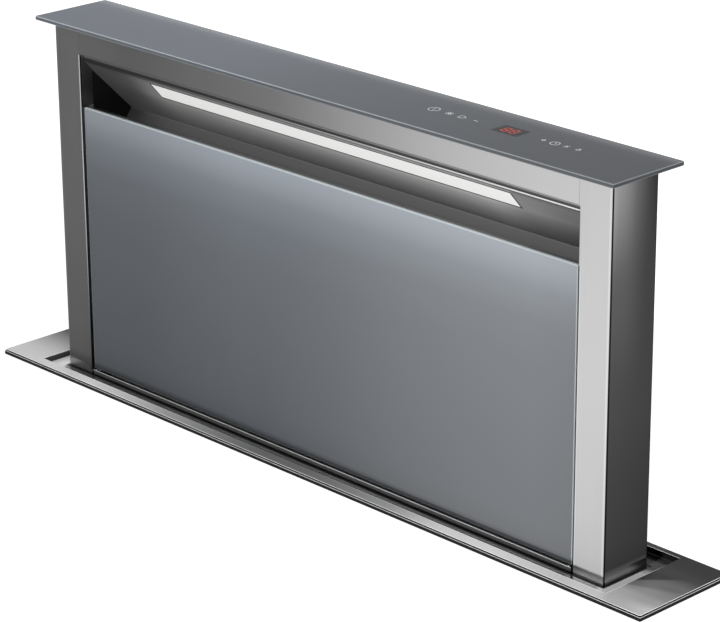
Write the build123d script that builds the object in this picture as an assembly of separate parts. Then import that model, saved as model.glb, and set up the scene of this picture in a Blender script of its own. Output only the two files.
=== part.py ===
"""Rising downdraft vent for a kitchen worktop, shown fully raised.

Millimetres, +Z up. The origin is the centre of the trim's opening, in the plane of the
worktop. The cook stands on the -Y side, where the glass panel and the suction slot face.
"""
from build123d import *
import math
import os

# ---------------------------------------------------------------- worktop trim
CAP_LENGTH = 766.0
CAP_DEPTH = 90.0
CAP_GAP_END = 6.4
CAP_GAP_SIDE = 4.4
END_BAR = 50.6
FRONT_BAR = 12.9
BACK_BAR = 7.7
GASKET_T = 1.2
BASE_T = 2.7
PLATE_T = 1.5
LAYER_STEP = 1.2
PLATE_BEVEL = 0.4
RECESS_DEPTH = 6.6
TRAY_T = 1.0
SLOT_GAP = 3.0
SEAL_T = 5.0
SEAL_WIDTH = 11.0
SEAL_CLEARANCE = 0.4
CUTOUT_MARGIN = 2.4

OPENING_LENGTH = CAP_LENGTH + 2 * CAP_GAP_END
OPENING_DEPTH = CAP_DEPTH + 2 * CAP_GAP_SIDE
TRAY_HALF_L = OPENING_LENGTH / 2 + TRAY_T
TRAY_HALF_D = OPENING_DEPTH / 2 + TRAY_T
TRIM_HALF_L = OPENING_LENGTH / 2 + END_BAR
TRIM_FRONT = -OPENING_DEPTH / 2 - FRONT_BAR
TRIM_BACK = OPENING_DEPTH / 2 + BACK_BAR
BASE_Z = GASKET_T
PLATE_Z = GASKET_T + BASE_T
TRIM_TOP = PLATE_Z + PLATE_T
RECESS_Z = TRIM_TOP - RECESS_DEPTH
TRAY_UNDER = RECESS_Z - TRAY_T

# ---------------------------------------------------------------- rising tower
CAP_T = 4.0
CAP_BEVEL = 0.7
CAP_OVERHANG_END = 12.8
CAP_OVERHANG_FRONT = 14.5
RISE = 366.7
TOWER_DEPTH = 58.0
TOWER_TAIL = 115.0
BASE_HEIGHT = 14.0
BASE_WALL = 4.0
SHEET = 1.2
STILE_WIDTH = 37.0
STILE_RETURN = 15.5
STILE_EDGE_R = 0.9
RAIL_HEIGHT = 29.4
RAIL_RETURN = 5.5
SEAM = 0.2
LAP = 11.0

TOWER_HALF = CAP_LENGTH / 2 - CAP_OVERHANG_END
TOWER_FRONT = -CAP_DEPTH / 2 + CAP_OVERHANG_FRONT
TOWER_BACK = TOWER_FRONT + TOWER_DEPTH
TOWER_LOW = -TOWER_TAIL
CAP_TOP = TRIM_TOP + RISE
CAP_UNDER = CAP_TOP - CAP_T
STILE_IN = TOWER_HALF - STILE_WIDTH
RAIL_LOW = CAP_UNDER - RAIL_HEIGHT
BACK_SHEET_Y = TOWER_BACK - 2 * SHEET

# ---------------------------------------------------------------- cap tray and touch board
TRAY_SKIRT = 16.0
TRAY_FRONT_GAP = 18.0
BOARD_LENGTH = 200.0
BOARD_DEPTH = 26.0
BOARD_T = 1.6
BOARD_X = 213.0
BOARD_Y = 4.7
DISPLAY_LENGTH = 30.4
DISPLAY_DEPTH = 20.0
DISPLAY_X = 220.5
KEY_SIZE = 9.0
KEY_X = (127.3, 146.3, 161.8, 178.5, 259.5, 272.6, 285.8, 299.2)
WINDOW_CLEARANCE = 0.5

TRAY_FRONT = TOWER_FRONT + TRAY_FRONT_GAP

# ---------------------------------------------------------------- suction slot
LIP_Y = TOWER_FRONT + RAIL_RETURN
LIP_DROP = 6.8
BAFFLE_BACK_GAP = 2.7
BAFFLE_FALL = 55.5
BAFFLE_UPSTAND = 14.0
BAFFLE_TAIL = 17.8
BAFFLE_TAIL_LEAN = 28.0
END_CLEARANCE = 0.2
END_INSET = 13.2
END_BELOW = 35.0
END_LAP = 9.0
LAMP_LENGTH = 481.0
LAMP_X = 5.0
LAMP_WIDTH = 23.0
LAMP_START = 5.5
LAMP_FRAME = 0.9
LAMP_PROUD = 0.5
LAMP_BODY = 7.0
LAMP_FLOOR = 1.5
DIFFUSER_SUNK = 0.2

LIP_Z = RAIL_LOW - LIP_DROP
BEND_Y = BACK_SHEET_Y - BAFFLE_BACK_GAP + SHEET
BEND_Z = LIP_Z - BAFFLE_FALL
BAFFLE_ANGLE = math.degrees(math.atan2(BAFFLE_FALL, BEND_Y - LIP_Y))

# ---------------------------------------------------------------- tilting glass panel
GLASS_T = 4.0
GLASS_SETBACK = 2.0
GLASS_SIDE_GAP = 2.0
GLASS_LOW = 5.2
SLOT_HEIGHT = 54.2
GLASS_BEVEL = 0.5
FRAME_T = 1.0
FRAME_INSET = 1.5
FRAME_FLANGE = 6.0
FRAME_FOOT = 12.0
PIN_R = 1.6
PIN_TIP = 0.6
PIN_CLEARANCE = 0.05
PIN_Y_BEHIND = 1.3
PIN_DROP = 4.2
EAR_T = 2.0
EAR_GAP = 0.4
EAR_BEHIND = 1.5
EAR_STEP = 1.0
EAR_TOP = 8.0
EYE_T = 2.0
EYE_INSET = 2.2
EYE_WALL = 1.4
APRON_T = 1.0
APRON_EDGE_R = 0.45
APRON_TOP_GAP = 1.6
APRON_SETBACK = 0.5
FILTER_SHELF_DROP = 17.0
SHELF_DEPTH = 21.0
SHELF_LIP = 6.0
CATCH_GAP = 0.3
CATCH_DROP = 12.0
CATCH_HEIGHT = 18.0
CATCH_WIDTH = 8.0

GLASS_FRONT = TOWER_FRONT + GLASS_SETBACK
GLASS_BACK = GLASS_FRONT + GLASS_T
GLASS_TOP = RAIL_LOW - SLOT_HEIGHT
GLASS_HALF = STILE_IN - GLASS_SIDE_GAP
FRAME_HALF = GLASS_HALF - FRAME_INSET
PIN_Y = GLASS_FRONT + PIN_Y_BEHIND
PIN_Z = GLASS_LOW - PIN_DROP
APRON_TOP = GLASS_LOW - APRON_TOP_GAP
APRON_Y = TOWER_FRONT + APRON_SETBACK
SHELF_Z = APRON_TOP - FILTER_SHELF_DROP

# ---------------------------------------------------------------- grease filters
FILTER_COUNT = 2
FILTER_GAP = 3.0
FILTER_T = 9.0
FILTER_SIDE_GAP = 12.0
FILTER_RIM = 12.0
FILTER_SHEET = 1.0
FILTER_COLUMNS = 12
FILTER_ROWS = 10
FILTER_BAR = 6.0
FILTER_SEAT_GAP = 0.4
FILTER_HEAD = 6.0
HANDLE_WIDTH = 44.0
HANDLE_R = 2.0
HANDLE_REACH = 6.0
HANDLE_ROOT = 0.5

# ---------------------------------------------------------------- casing below the worktop
CASING_END_GAP = 34.6
CASING_T = 1.2
CASING_BOTTOM = -720.0
CASING_FLANGE = 18.0
CASING_HALF_L = TRAY_HALF_L + CASING_END_GAP
CASING_IN_L = CASING_HALF_L - CASING_T
CASING_IN_D = TRAY_HALF_D
CASING_HALF_D = CASING_IN_D + CASING_T
SCREW_R = 2.0
SCREW_HEAD_R = 3.8
SCREW_HEAD_T = 2.2
SCREW_LENGTH = 5.0
SCREW_ROWS = 5
SCREW_MARGIN = 40.0

# ---------------------------------------------------------------- lift gear
CARRIAGE_T = 4.0
CARRIAGE_TOP = -13.0
CARRIAGE_HEIGHT = 98.0
CARRIAGE_FRONT = -32.0
CARRIAGE_BACK = 12.0
CARRIAGE_CORNER_R = 4.0
ROLLER_R = 13.0
ROLLER_WIDTH = 10.0
ROLLER_EDGE_R = 1.0
ROLLER_HOLES = 6
ROLLER_HOLE_R = 2.4
ROLLER_HOLE_REACH = 8.3
ROLLER_X = 409.0
ROLLER_Y = -18.0
ROLLER_AXLE_R = 3.0
AXLE_PAST = 1.5
AXLE_SHOULDER = 2.0
ROLLER_INSET = 17.0
RUNNING = 0.05
CHANNEL_PLAY = 0.3
CHANNEL_T = 2.0
CHANNEL_REACH = 24.0
CHANNEL_TOP = -10.0
CHANNEL_BOTTOM = -600.0
BELT_X = 388.0
BELT_WIDTH = 10.0
BELT_T = 2.0
BELT_Y = 20.0
PULLEY_R = 13.0
PULLEY_WIDTH = 10.6
PULLEY_RIM = 1.2
PULLEY_TOOTH = 0.5
PULLEY_TEETH = 18
BELT_SEAT = 0.3
DRIVE_Z = -520.0
IDLER_Z = -40.0
IDLER_AXLE_R = 3.0
IDLER_TIP = 0.8
IDLER_GAP = 1.5
IDLER_FOOT_WIDTH = 20.0
IDLER_FOOT_HEIGHT = 24.0
IDLER_FOOT_T = 3.0
SHAFT_R = 4.0
SHAFT_BEVEL = 0.6
SHAFT_END_GAP = 3.0
BEARING_SIZE = 22.0
BEARING_T = 14.0
BEARING_CAP = 2.0
BEARING_CORNER_R = 4.0
CLAMP_TOP = -62.0
CLAMP_HEIGHT = 26.0
CLAMP_DEPTH = 5.0
CLAMP_GRIP_GAP = 0.3
GEARBOX_X = -315.0
GEARBOX_LENGTH = 46.0
GEARBOX_DEPTH = 48.0
GEARBOX_HEIGHT = 56.0
GEARBOX_CORNER_R = 8.0
MOTOR_CAN_R = 21.0
MOTOR_CAN_LENGTH = 92.0
MOTOR_CAN_EDGE_R = 3.0
BRACKET_T = 2.0
BRACKET_MARGIN = 12.0

CHANNEL_HALF = ROLLER_R + CHANNEL_PLAY
BELT_PITCH_R = PULLEY_R + BELT_SEAT + BELT_T / 2

# ---------------------------------------------------------------- blower
BLOWER_HEIGHT = 145.0
BOX_HALF_L = 170.0
BOX_DEPTH = 190.0
BOX_HEIGHT = 325.0
BOX_T = 1.2
LID_PLAY = 0.3
LID_RIM = 8.0
INLET_R = 77.5
INLET_T = 1.5
INLET_REACH = 33.0
INLET_FLANGE = 15.0
INLET_PLAY = 0.5
VOLUTE_R0 = 95.0
VOLUTE_R1 = 138.0
VOLUTE_T = 1.5
VOLUTE_START = 135.0
VOLUTE_END = 450.0
VOLUTE_STEPS = 24
VOLUTE_DEPTH = 120.0
VOLUTE_SETBACK = 27.0
POST_R = 6.0
POST_INSET = 40.0
WHEEL_R = 85.0
WHEEL_BLADE = 14.0
WHEEL_BLADES = 32
WHEEL_BLADE_T = 1.6
WHEEL_BLADE_LEAN = 28.0
WHEEL_PLATE_T = 2.0
WHEEL_GAP = 9.0
WHEEL_INLET_GAP = 3.0
HUB_R = 14.0
HUB_LENGTH = 40.0
MOTOR_R = 45.0
MOTOR_LENGTH = 29.0
MOTOR_EDGE_R = 5.0
MOTOR_FLANGE = 4.0
MOTOR_FLANGE_WIDTH = 15.0
MOTOR_SHAFT_R = 4.0
MOTOR_SHAFT_PAST = 4.0
MOTOR_BOSS = 6.0

BLOWER_Z = CASING_BOTTOM + BLOWER_HEIGHT
BOX_TOP = CASING_BOTTOM + BOX_HEIGHT

# ---------------------------------------------------------------- duct collar and damper
COLLAR_R = 75.0
COLLAR_T = 1.5
COLLAR_LENGTH = 92.0
COLLAR_FLANGE = 9.0
FLAP_BACK = 15.0
FLAP_T = 1.2
FLAP_CLEARANCE = 1.0
FLAP_PIN_R = 1.5
FLAP_SLEEVE = 1.2
FLAP_AXIS_GAP = 3.3
FLAP_END_GAP = 1.0

# ---------------------------------------------------------------- electrics and fixing
CONTROL_LENGTH = 150.0
CONTROL_HEIGHT = 120.0
CONTROL_DEPTH = 50.0
CONTROL_X = 190.0
CONTROL_TOP = -290.0
CONTROL_WALL = 2.0
CONTROL_EDGE_R = 1.0
GLAND_R = 9.0
GLAND_BORE_R = 4.0
GLAND_LENGTH = 22.0
GLAND_INSIDE = 6.0
GLAND_NUT_R = 11.5
GLAND_NUT_T = 6.0
FOOT_T = 2.0
FOOT_HALF = 40.0
FOOT_DROP = 40.0
FOOT_HEIGHT = 45.0
FOOT_REACH = 26.0
FOOT_HOLE_R = 2.75
FOOT_HOLE_SPACING = 50.0
FOOT_HOLE_OUT = 15.0

SIDES = (("left", -1), ("right", 1))


# ================================================================ helpers
def block(x0, x1, y0, y1, z0, z1):
    """A box between two opposite corners."""
    centre = ((x0 + x1) / 2, (y0 + y1) / 2, (z0 + z1) / 2)
    return Pos(*centre) * Box(abs(x1 - x0), abs(y1 - y0), abs(z1 - z0))


def rod_x(x0, x1, y, z, r):
    """A cylinder along X."""
    return Pos((x0 + x1) / 2, y, z) * Rot(0, 90, 0) * Cylinder(r, abs(x1 - x0))


def rod_y(y0, y1, x, z, r):
    """A cylinder along Y."""
    return Pos(x, (y0 + y1) / 2, z) * Rot(90, 0, 0) * Cylinder(r, abs(y1 - y0))


def rod_z(z0, z1, x, y, r):
    """A cylinder along Z."""
    return Pos(x, y, (z0 + z1) / 2) * Cylinder(r, abs(z1 - z0))


def sided(solid, side):
    """The right-hand piece itself, or its mirror image for the left-hand end."""
    return solid if side > 0 else mirror(solid, about=Plane.YZ)


def pair(solid):
    """The right-hand piece and its mirror image, as one node."""
    return Compound([sided(solid, side) for _, side in SIDES])


def sheet_outline(points, thickness):
    """Close an open line of (y, z) points into a bent sheet that grows to the line's left."""
    offset_points = []
    for i, (y, z) in enumerate(points):
        normals = []
        for a, b in ((i - 1, i), (i, i + 1)):
            if a < 0 or b >= len(points):
                continue
            dy = points[b][0] - points[a][0]
            dz = points[b][1] - points[a][1]
            length = math.hypot(dy, dz)
            normals.append((-dz / length, dy / length))
        ny = sum(n[0] for n in normals) / len(normals)
        nz = sum(n[1] for n in normals) / len(normals)
        scale = thickness / (ny * ny + nz * nz)
        offset_points.append((y + ny * scale, z + nz * scale))
    return list(points) + offset_points[::-1]


def prism_x(outline, x0, x1):
    """Carry a closed outline of (y, z) points along X."""
    face = Plane.YZ.offset(x0) * make_face(Polyline(*outline, close=True))
    return extrude(face, x1 - x0)


def prism_z(outline, z0, z1):
    """Carry a closed outline of (x, y) points along Z."""
    face = Plane.XY.offset(z0) * make_face(Polyline(*outline, close=True))
    return extrude(face, z1 - z0)


def baffle_tail():
    """Free lower edge of the baffle as (y, z)."""
    lean = math.radians(BAFFLE_TAIL_LEAN)
    return BEND_Y - BAFFLE_TAIL * math.sin(lean), BEND_Z - BAFFLE_TAIL * math.cos(lean)


def filter_place():
    """Length, lean in degrees and centre (y, z) of a filter leaning from shelf lip to baffle."""
    lip_y = APRON_Y + SHELF_DEPTH
    tail = baffle_tail()
    lean = math.atan2(tail[0] - lip_y, tail[1] - SHELF_Z - SHELF_LIP)
    foot_z = SHELF_Z + FILTER_SEAT_GAP
    foot_y = lip_y - FILTER_SEAT_GAP - math.tan(lean) * (SHELF_LIP - FILTER_SEAT_GAP)
    length = (tail[1] - foot_z) / math.cos(lean) + FILTER_HEAD
    y = foot_y + math.sin(lean) * length / 2 - math.cos(lean) * FILTER_T / 2
    z = foot_z + math.cos(lean) * length / 2 + math.sin(lean) * FILTER_T / 2
    return length, math.degrees(lean), y, z


# ================================================================ worktop trim
def trim_frame():
    plate = block(-TRIM_HALF_L + LAYER_STEP, TRIM_HALF_L - LAYER_STEP,
                  TRIM_FRONT + LAYER_STEP, TRIM_BACK - LAYER_STEP, PLATE_Z, TRIM_TOP)
    plate = chamfer(plate.faces().sort_by(Axis.Z)[-1].edges(), PLATE_BEVEL)
    return plate - block(-OPENING_LENGTH / 2, OPENING_LENGTH / 2,
                         -OPENING_DEPTH / 2, OPENING_DEPTH / 2, PLATE_Z - 1, TRIM_TOP + 1)


def trim_base():
    plate = block(-TRIM_HALF_L, TRIM_HALF_L, TRIM_FRONT, TRIM_BACK, BASE_Z, PLATE_Z)
    return plate - block(-TRAY_HALF_L, TRAY_HALF_L, -TRAY_HALF_D, TRAY_HALF_D, 0, TRIM_TOP)


def worktop_gasket():
    inset = LAYER_STEP / 2
    ring = block(-TRIM_HALF_L + inset, TRIM_HALF_L - inset, TRIM_FRONT + inset, TRIM_BACK - inset,
                 0, BASE_Z)
    half_l = CASING_HALF_L + CUTOUT_MARGIN
    half_d = CASING_HALF_D + CUTOUT_MARGIN
    return ring - block(-half_l, half_l, -half_d, half_d, -1, BASE_Z + 1)


def recess_tray():
    tray = block(-TRAY_HALF_L, TRAY_HALF_L, -TRAY_HALF_D, TRAY_HALF_D, TRAY_UNDER, PLATE_Z)
    tray -= block(-OPENING_LENGTH / 2, OPENING_LENGTH / 2, -OPENING_DEPTH / 2, OPENING_DEPTH / 2,
                  RECESS_Z, PLATE_Z + 1)
    return tray - block(-TOWER_HALF - SLOT_GAP, TOWER_HALF + SLOT_GAP,
                        TOWER_FRONT - SLOT_GAP, TOWER_BACK + SLOT_GAP, TRAY_UNDER - 1, RECESS_Z + 1)


def slot_seal():
    inner_l = TOWER_HALF + SEAL_CLEARANCE
    low_y = TOWER_FRONT - SEAL_CLEARANCE
    high_y = TOWER_BACK + SEAL_CLEARANCE
    ring = block(-inner_l - SEAL_WIDTH, inner_l + SEAL_WIDTH, low_y - SEAL_WIDTH, high_y + SEAL_WIDTH,
                 TRAY_UNDER - SEAL_T, TRAY_UNDER)
    return ring - block(-inner_l, inner_l, low_y, high_y, TRAY_UNDER - SEAL_T - 1, TRAY_UNDER + 1)


# ================================================================ casing
def screw_heights():
    top = TRAY_UNDER - SCREW_MARGIN
    bottom = CASING_BOTTOM + SCREW_MARGIN
    return [top + (bottom - top) * i / (SCREW_ROWS - 1) for i in range(SCREW_ROWS)]


def screw_places():
    """Centres of the casing's corner screws as (x, z)."""
    x = CASING_IN_L - CASING_FLANGE / 2
    return [(side * x, z) for _, side in SIDES for z in screw_heights()]


def casing_wall(side):
    """Front or back sheet of the casing, with its screw holes."""
    outer = side * CASING_HALF_D
    inner = side * CASING_IN_D
    wall = block(-CASING_HALF_L, CASING_HALF_L, outer, inner, CASING_BOTTOM, BASE_Z)
    for x, z in screw_places():
        wall -= rod_y(outer + side, inner - side, x, z, SCREW_R)
    return wall


def casing_front():
    wall = casing_wall(-1)
    return wall - rod_y(-CASING_HALF_D - 1, -CASING_IN_D + 1, 0, BLOWER_Z, INLET_R)


def casing_back():
    return casing_wall(1)


def casing_end():
    """Right-hand end: a plate with front, back and top flanges."""
    end = block(CASING_IN_L, CASING_HALF_L, -CASING_IN_D, CASING_IN_D, CASING_BOTTOM, BASE_Z)
    for side in (-1, 1):
        outer = side * CASING_IN_D
        inner = side * (CASING_IN_D - CASING_T)
        end += block(CASING_IN_L - CASING_FLANGE, CASING_IN_L, outer, inner, CASING_BOTTOM, BASE_Z)
        for z in screw_heights():
            end -= rod_y(outer + side, inner - side, CASING_IN_L - CASING_FLANGE / 2, z, SCREW_R)
    return end + block(TRAY_HALF_L, CASING_IN_L, -CASING_IN_D, CASING_IN_D, BASE_Z - CASING_T, BASE_Z)


def casing_floor():
    half = CASING_IN_L - CASING_FLANGE
    floor = block(-half, half, -CASING_IN_D, CASING_IN_D, CASING_BOTTOM, CASING_BOTTOM + CASING_T)
    for side in (-1, 1):
        floor += block(-half, half, side * CASING_IN_D, side * (CASING_IN_D - CASING_T),
                       CASING_BOTTOM, CASING_BOTTOM + CASING_FLANGE)
    return floor


def casing_screws():
    """Pan-head screws that close the casing's four corners."""
    screws = []
    for side in (-1, 1):
        face = side * CASING_HALF_D
        for x, z in screw_places():
            head = rod_y(face, face + side * SCREW_HEAD_T, x, z, SCREW_HEAD_R)
            screws.append(head + rod_y(face, face - side * SCREW_LENGTH, x, z, SCREW_R))
    return Compound(screws)


def fixing_brackets():
    """Angle brackets that clamp the casing up against the worktop."""
    angle = block(CASING_HALF_L, CASING_HALF_L + FOOT_T, -FOOT_HALF, FOOT_HALF,
                  -FOOT_DROP - FOOT_HEIGHT, -FOOT_DROP)
    angle += block(CASING_HALF_L, CASING_HALF_L + FOOT_REACH, -FOOT_HALF, FOOT_HALF,
                   -FOOT_DROP - FOOT_T, -FOOT_DROP)
    for y in (-FOOT_HOLE_SPACING / 2, FOOT_HOLE_SPACING / 2):
        angle -= rod_z(-FOOT_DROP - FOOT_T - 1, -FOOT_DROP + 1,
                       CASING_HALF_L + FOOT_HOLE_OUT, y, FOOT_HOLE_R)
    return pair(angle)


# ================================================================ lift gear
def guide_channels():
    """The two C channels in which the carriage rollers run."""
    half = CHANNEL_HALF + CHANNEL_T
    channel = block(CASING_IN_L - CHANNEL_REACH, CASING_IN_L, ROLLER_Y - half, ROLLER_Y + half,
                    CHANNEL_BOTTOM, CHANNEL_TOP)
    channel -= block(CASING_IN_L - CHANNEL_REACH - 1, CASING_IN_L - CHANNEL_T,
                     ROLLER_Y - CHANNEL_HALF, ROLLER_Y + CHANNEL_HALF,
                     CHANNEL_BOTTOM - 1, CHANNEL_TOP + 1)
    return pair(channel)


def roller_heights():
    return (CARRIAGE_TOP - ROLLER_INSET, CARRIAGE_TOP - CARRIAGE_HEIGHT + ROLLER_INSET)


def carriage():
    """Right-hand carriage plate with the roller axles, screwed to the tower's side."""
    x0 = TOWER_HALF
    x1 = TOWER_HALF + CARRIAGE_T
    plate = block(x0, x1, CARRIAGE_FRONT, CARRIAGE_BACK, CARRIAGE_TOP - CARRIAGE_HEIGHT, CARRIAGE_TOP)
    plate = fillet(plate.edges().filter_by(Axis.X), CARRIAGE_CORNER_R)
    for z in roller_heights():
        plate += rod_x(x1, ROLLER_X + ROLLER_WIDTH / 2 + AXLE_PAST, ROLLER_Y, z, ROLLER_AXLE_R)
        plate += rod_x(x1, ROLLER_X - ROLLER_WIDTH / 2 - CHANNEL_PLAY, ROLLER_Y, z,
                       ROLLER_AXLE_R + AXLE_SHOULDER)
    return plate


def roller(z):
    """Right-hand guide roller with lightening holes."""
    wheel = rod_x(ROLLER_X - ROLLER_WIDTH / 2, ROLLER_X + ROLLER_WIDTH / 2, ROLLER_Y, z, ROLLER_R)
    wheel = fillet(wheel.edges(), ROLLER_EDGE_R)
    for i in range(ROLLER_HOLES):
        angle = math.radians(360 * i / ROLLER_HOLES)
        wheel -= rod_x(ROLLER_X - ROLLER_WIDTH, ROLLER_X + ROLLER_WIDTH,
                       ROLLER_Y + ROLLER_HOLE_REACH * math.cos(angle),
                       z + ROLLER_HOLE_REACH * math.sin(angle), ROLLER_HOLE_R)
    return wheel - rod_x(ROLLER_X - ROLLER_WIDTH, ROLLER_X + ROLLER_WIDTH, ROLLER_Y, z,
                         ROLLER_AXLE_R + RUNNING)


def lift_belts():
    """The two toothed belts, each a closed loop round its two pulleys."""
    inner_r = PULLEY_R + BELT_SEAT
    x0 = BELT_X - BELT_WIDTH / 2
    x1 = BELT_X + BELT_WIDTH / 2

    def loop(r):
        solid = rod_x(x0, x1, BELT_Y, DRIVE_Z, r) + rod_x(x0, x1, BELT_Y, IDLER_Z, r)
        return solid + block(x0, x1, BELT_Y - r, BELT_Y + r, DRIVE_Z, IDLER_Z)

    return pair(loop(inner_r + BELT_T) - loop(inner_r))


def pulley(z, bore_r):
    """Right-hand pulley with two rims and a shallow ring of teeth."""
    half = PULLEY_WIDTH / 2
    wheel = rod_x(BELT_X - half, BELT_X + half, BELT_Y, z, PULLEY_R)
    for i in range(PULLEY_TEETH):
        angle = math.radians(360 * i / PULLEY_TEETH)
        wheel -= rod_x(BELT_X - half, BELT_X + half, BELT_Y + PULLEY_R * math.cos(angle),
                       z + PULLEY_R * math.sin(angle), PULLEY_TOOTH)
    for side in (-1, 1):
        edge = BELT_X + side * half
        wheel += rod_x(edge, edge + side * PULLEY_RIM, BELT_Y, z, PULLEY_R + BELT_T)
    return wheel - rod_x(BELT_X - PULLEY_WIDTH, BELT_X + PULLEY_WIDTH, BELT_Y, z, bore_r)


def idler_brackets():
    """Brackets and axles of the two upper pulleys, fixed to the casing ends."""
    rim = PULLEY_WIDTH / 2 + PULLEY_RIM
    half_y = IDLER_FOOT_WIDTH / 2
    half_z = IDLER_FOOT_HEIGHT / 2
    x0 = BELT_X + rim + IDLER_GAP
    axle = rod_x(BELT_X - rim - IDLER_TIP, x0, BELT_Y, IDLER_Z, IDLER_AXLE_R)
    foot = block(x0, CASING_IN_L, BELT_Y - half_y, BELT_Y + half_y, IDLER_Z - half_z, IDLER_Z + half_z)
    foot -= block(x0 + IDLER_FOOT_T, CASING_IN_L - IDLER_FOOT_T, BELT_Y - half_y - 1, BELT_Y + half_y + 1,
                  IDLER_Z - half_z + IDLER_FOOT_T, IDLER_Z + half_z - IDLER_FOOT_T)
    return pair(axle + foot)


def drive_shaft():
    """Cross shaft that ties the two belts together."""
    end = CASING_IN_L - SHAFT_END_GAP
    shaft = rod_x(-end, end, BELT_Y, DRIVE_Z, SHAFT_R)
    return chamfer(shaft.edges().filter_by(GeomType.CIRCLE), SHAFT_BEVEL)


def shaft_bearings():
    """Bearing blocks of the cross shaft, fixed to the casing ends."""
    half = BEARING_SIZE / 2
    housing = block(CASING_IN_L - BEARING_T, CASING_IN_L, BELT_Y - half, BELT_Y + half,
                    DRIVE_Z - half, DRIVE_Z + half)
    housing = fillet(housing.edges().filter_by(Axis.X), BEARING_CORNER_R)
    return pair(housing - rod_x(CASING_IN_L - BEARING_T - 1, CASING_IN_L - BEARING_CAP,
                                BELT_Y, DRIVE_Z, SHAFT_R + RUNNING))


def belt_clamps():
    """Clamps that tie each carriage to the front run of its belt."""
    run = BELT_Y - BELT_PITCH_R
    inner = BELT_T / 2 + CLAMP_GRIP_GAP
    z0 = CLAMP_TOP - CLAMP_HEIGHT
    belt_edge = BELT_X - BELT_WIDTH / 2 - CLAMP_GRIP_GAP
    clamp = block(TOWER_HALF + CARRIAGE_T, belt_edge, run - inner - CLAMP_DEPTH,
                  run + inner + CLAMP_DEPTH, z0, CLAMP_TOP)
    for side in (-1, 1):
        clamp += block(belt_edge, BELT_X + BELT_WIDTH / 2, run + side * inner,
                       run + side * (inner + CLAMP_DEPTH), z0, CLAMP_TOP)
    return pair(clamp)


def lift_motor():
    """Worm gearmotor on the cross shaft, its can hanging below the gearbox."""
    half_l = GEARBOX_LENGTH / 2
    half_d = GEARBOX_DEPTH / 2
    half_h = GEARBOX_HEIGHT / 2
    box = block(GEARBOX_X - half_l, GEARBOX_X + half_l, BELT_Y - half_d, BELT_Y + half_d,
                DRIVE_Z - half_h, DRIVE_Z + half_h)
    box = fillet(box.edges().filter_by(Axis.X), GEARBOX_CORNER_R)
    box -= rod_x(GEARBOX_X - half_l - 1, GEARBOX_X + half_l + 1, BELT_Y, DRIVE_Z, SHAFT_R + RUNNING)
    low = DRIVE_Z - half_h
    can = rod_z(low - MOTOR_CAN_LENGTH, low, GEARBOX_X, BELT_Y, MOTOR_CAN_R)
    can = fillet(can.faces().sort_by(Axis.Z)[0].edges(), MOTOR_CAN_EDGE_R)
    return box + can


def motor_bracket():
    """Shallow channel between the gearbox and the casing's back sheet."""
    face = BELT_Y + GEARBOX_DEPTH / 2
    x0 = GEARBOX_X - GEARBOX_LENGTH / 2 - BRACKET_MARGIN
    x1 = GEARBOX_X + GEARBOX_LENGTH / 2 + BRACKET_MARGIN
    z0 = DRIVE_Z - GEARBOX_HEIGHT / 2 - BRACKET_MARGIN
    z1 = DRIVE_Z + GEARBOX_HEIGHT / 2 + BRACKET_MARGIN
    plate = block(x0, x1, face, face + BRACKET_T, z0, z1)
    for x in (x0, x1 - BRACKET_T):
        plate += block(x, x + BRACKET_T, face, CASING_IN_D, z0, z1)
    return plate


# ================================================================ tower
def stile():
    """Right-hand corner profile: front face, side face, back return and a narrow inner return."""
    outer = block(STILE_IN, TOWER_HALF, TOWER_FRONT, TOWER_BACK, TOWER_LOW, CAP_UNDER)
    corners = [e for e in outer.edges().filter_by(Axis.Z) if e.center().X > TOWER_HALF - 1]
    outer = fillet(corners, STILE_EDGE_R)
    hollow = block(STILE_IN + SHEET, TOWER_HALF - SHEET, TOWER_FRONT + SHEET, TOWER_BACK - SHEET,
                   TOWER_LOW - 1, CAP_UNDER + 1)
    opening = block(STILE_IN - 1, STILE_IN + SHEET, TOWER_FRONT + STILE_RETURN, TOWER_BACK - SHEET,
                    TOWER_LOW - 1, CAP_UNDER + 1)
    behind_rail = block(STILE_IN - 1, STILE_IN + SHEET, TOWER_FRONT + SHEET, TOWER_BACK - SHEET,
                        RAIL_LOW, CAP_UNDER + 1)
    at_base = block(STILE_IN - 1, STILE_IN + SHEET, TOWER_FRONT + SHEET, TOWER_BACK - SHEET,
                    TOWER_LOW - 1, TOWER_LOW + BASE_HEIGHT)
    return outer - hollow - opening - behind_rail - at_base


def top_rail():
    half = STILE_IN - SEAM
    rail = block(-half, half, TOWER_FRONT, TOWER_FRONT + SHEET, RAIL_LOW, CAP_UNDER)
    rail += block(-half, half, TOWER_FRONT, LIP_Y, RAIL_LOW, RAIL_LOW + SHEET)
    rail += block(-half, half, TOWER_FRONT, TRAY_FRONT, CAP_UNDER - SHEET, CAP_UNDER)
    for _, side in SIDES:
        rail += block(side * (half - LAP), side * (half + LAP), TOWER_FRONT + SHEET,
                      TOWER_FRONT + 2 * SHEET, RAIL_LOW + 2 * SHEET, CAP_UNDER - SHEET)
    return rail


def tower_back():
    return block(-STILE_IN - LAP, STILE_IN + LAP, BACK_SHEET_Y, BACK_SHEET_Y + SHEET,
                 TOWER_LOW, CAP_UNDER)


def cap_glass():
    slab = block(-CAP_LENGTH / 2, CAP_LENGTH / 2, -CAP_DEPTH / 2, CAP_DEPTH / 2, CAP_UNDER, CAP_TOP)
    slab = chamfer(slab.edges().filter_by(Axis.Z), CAP_BEVEL)
    return chamfer(slab.faces().sort_by(Axis.Z)[-1].edges(), CAP_BEVEL)


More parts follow.
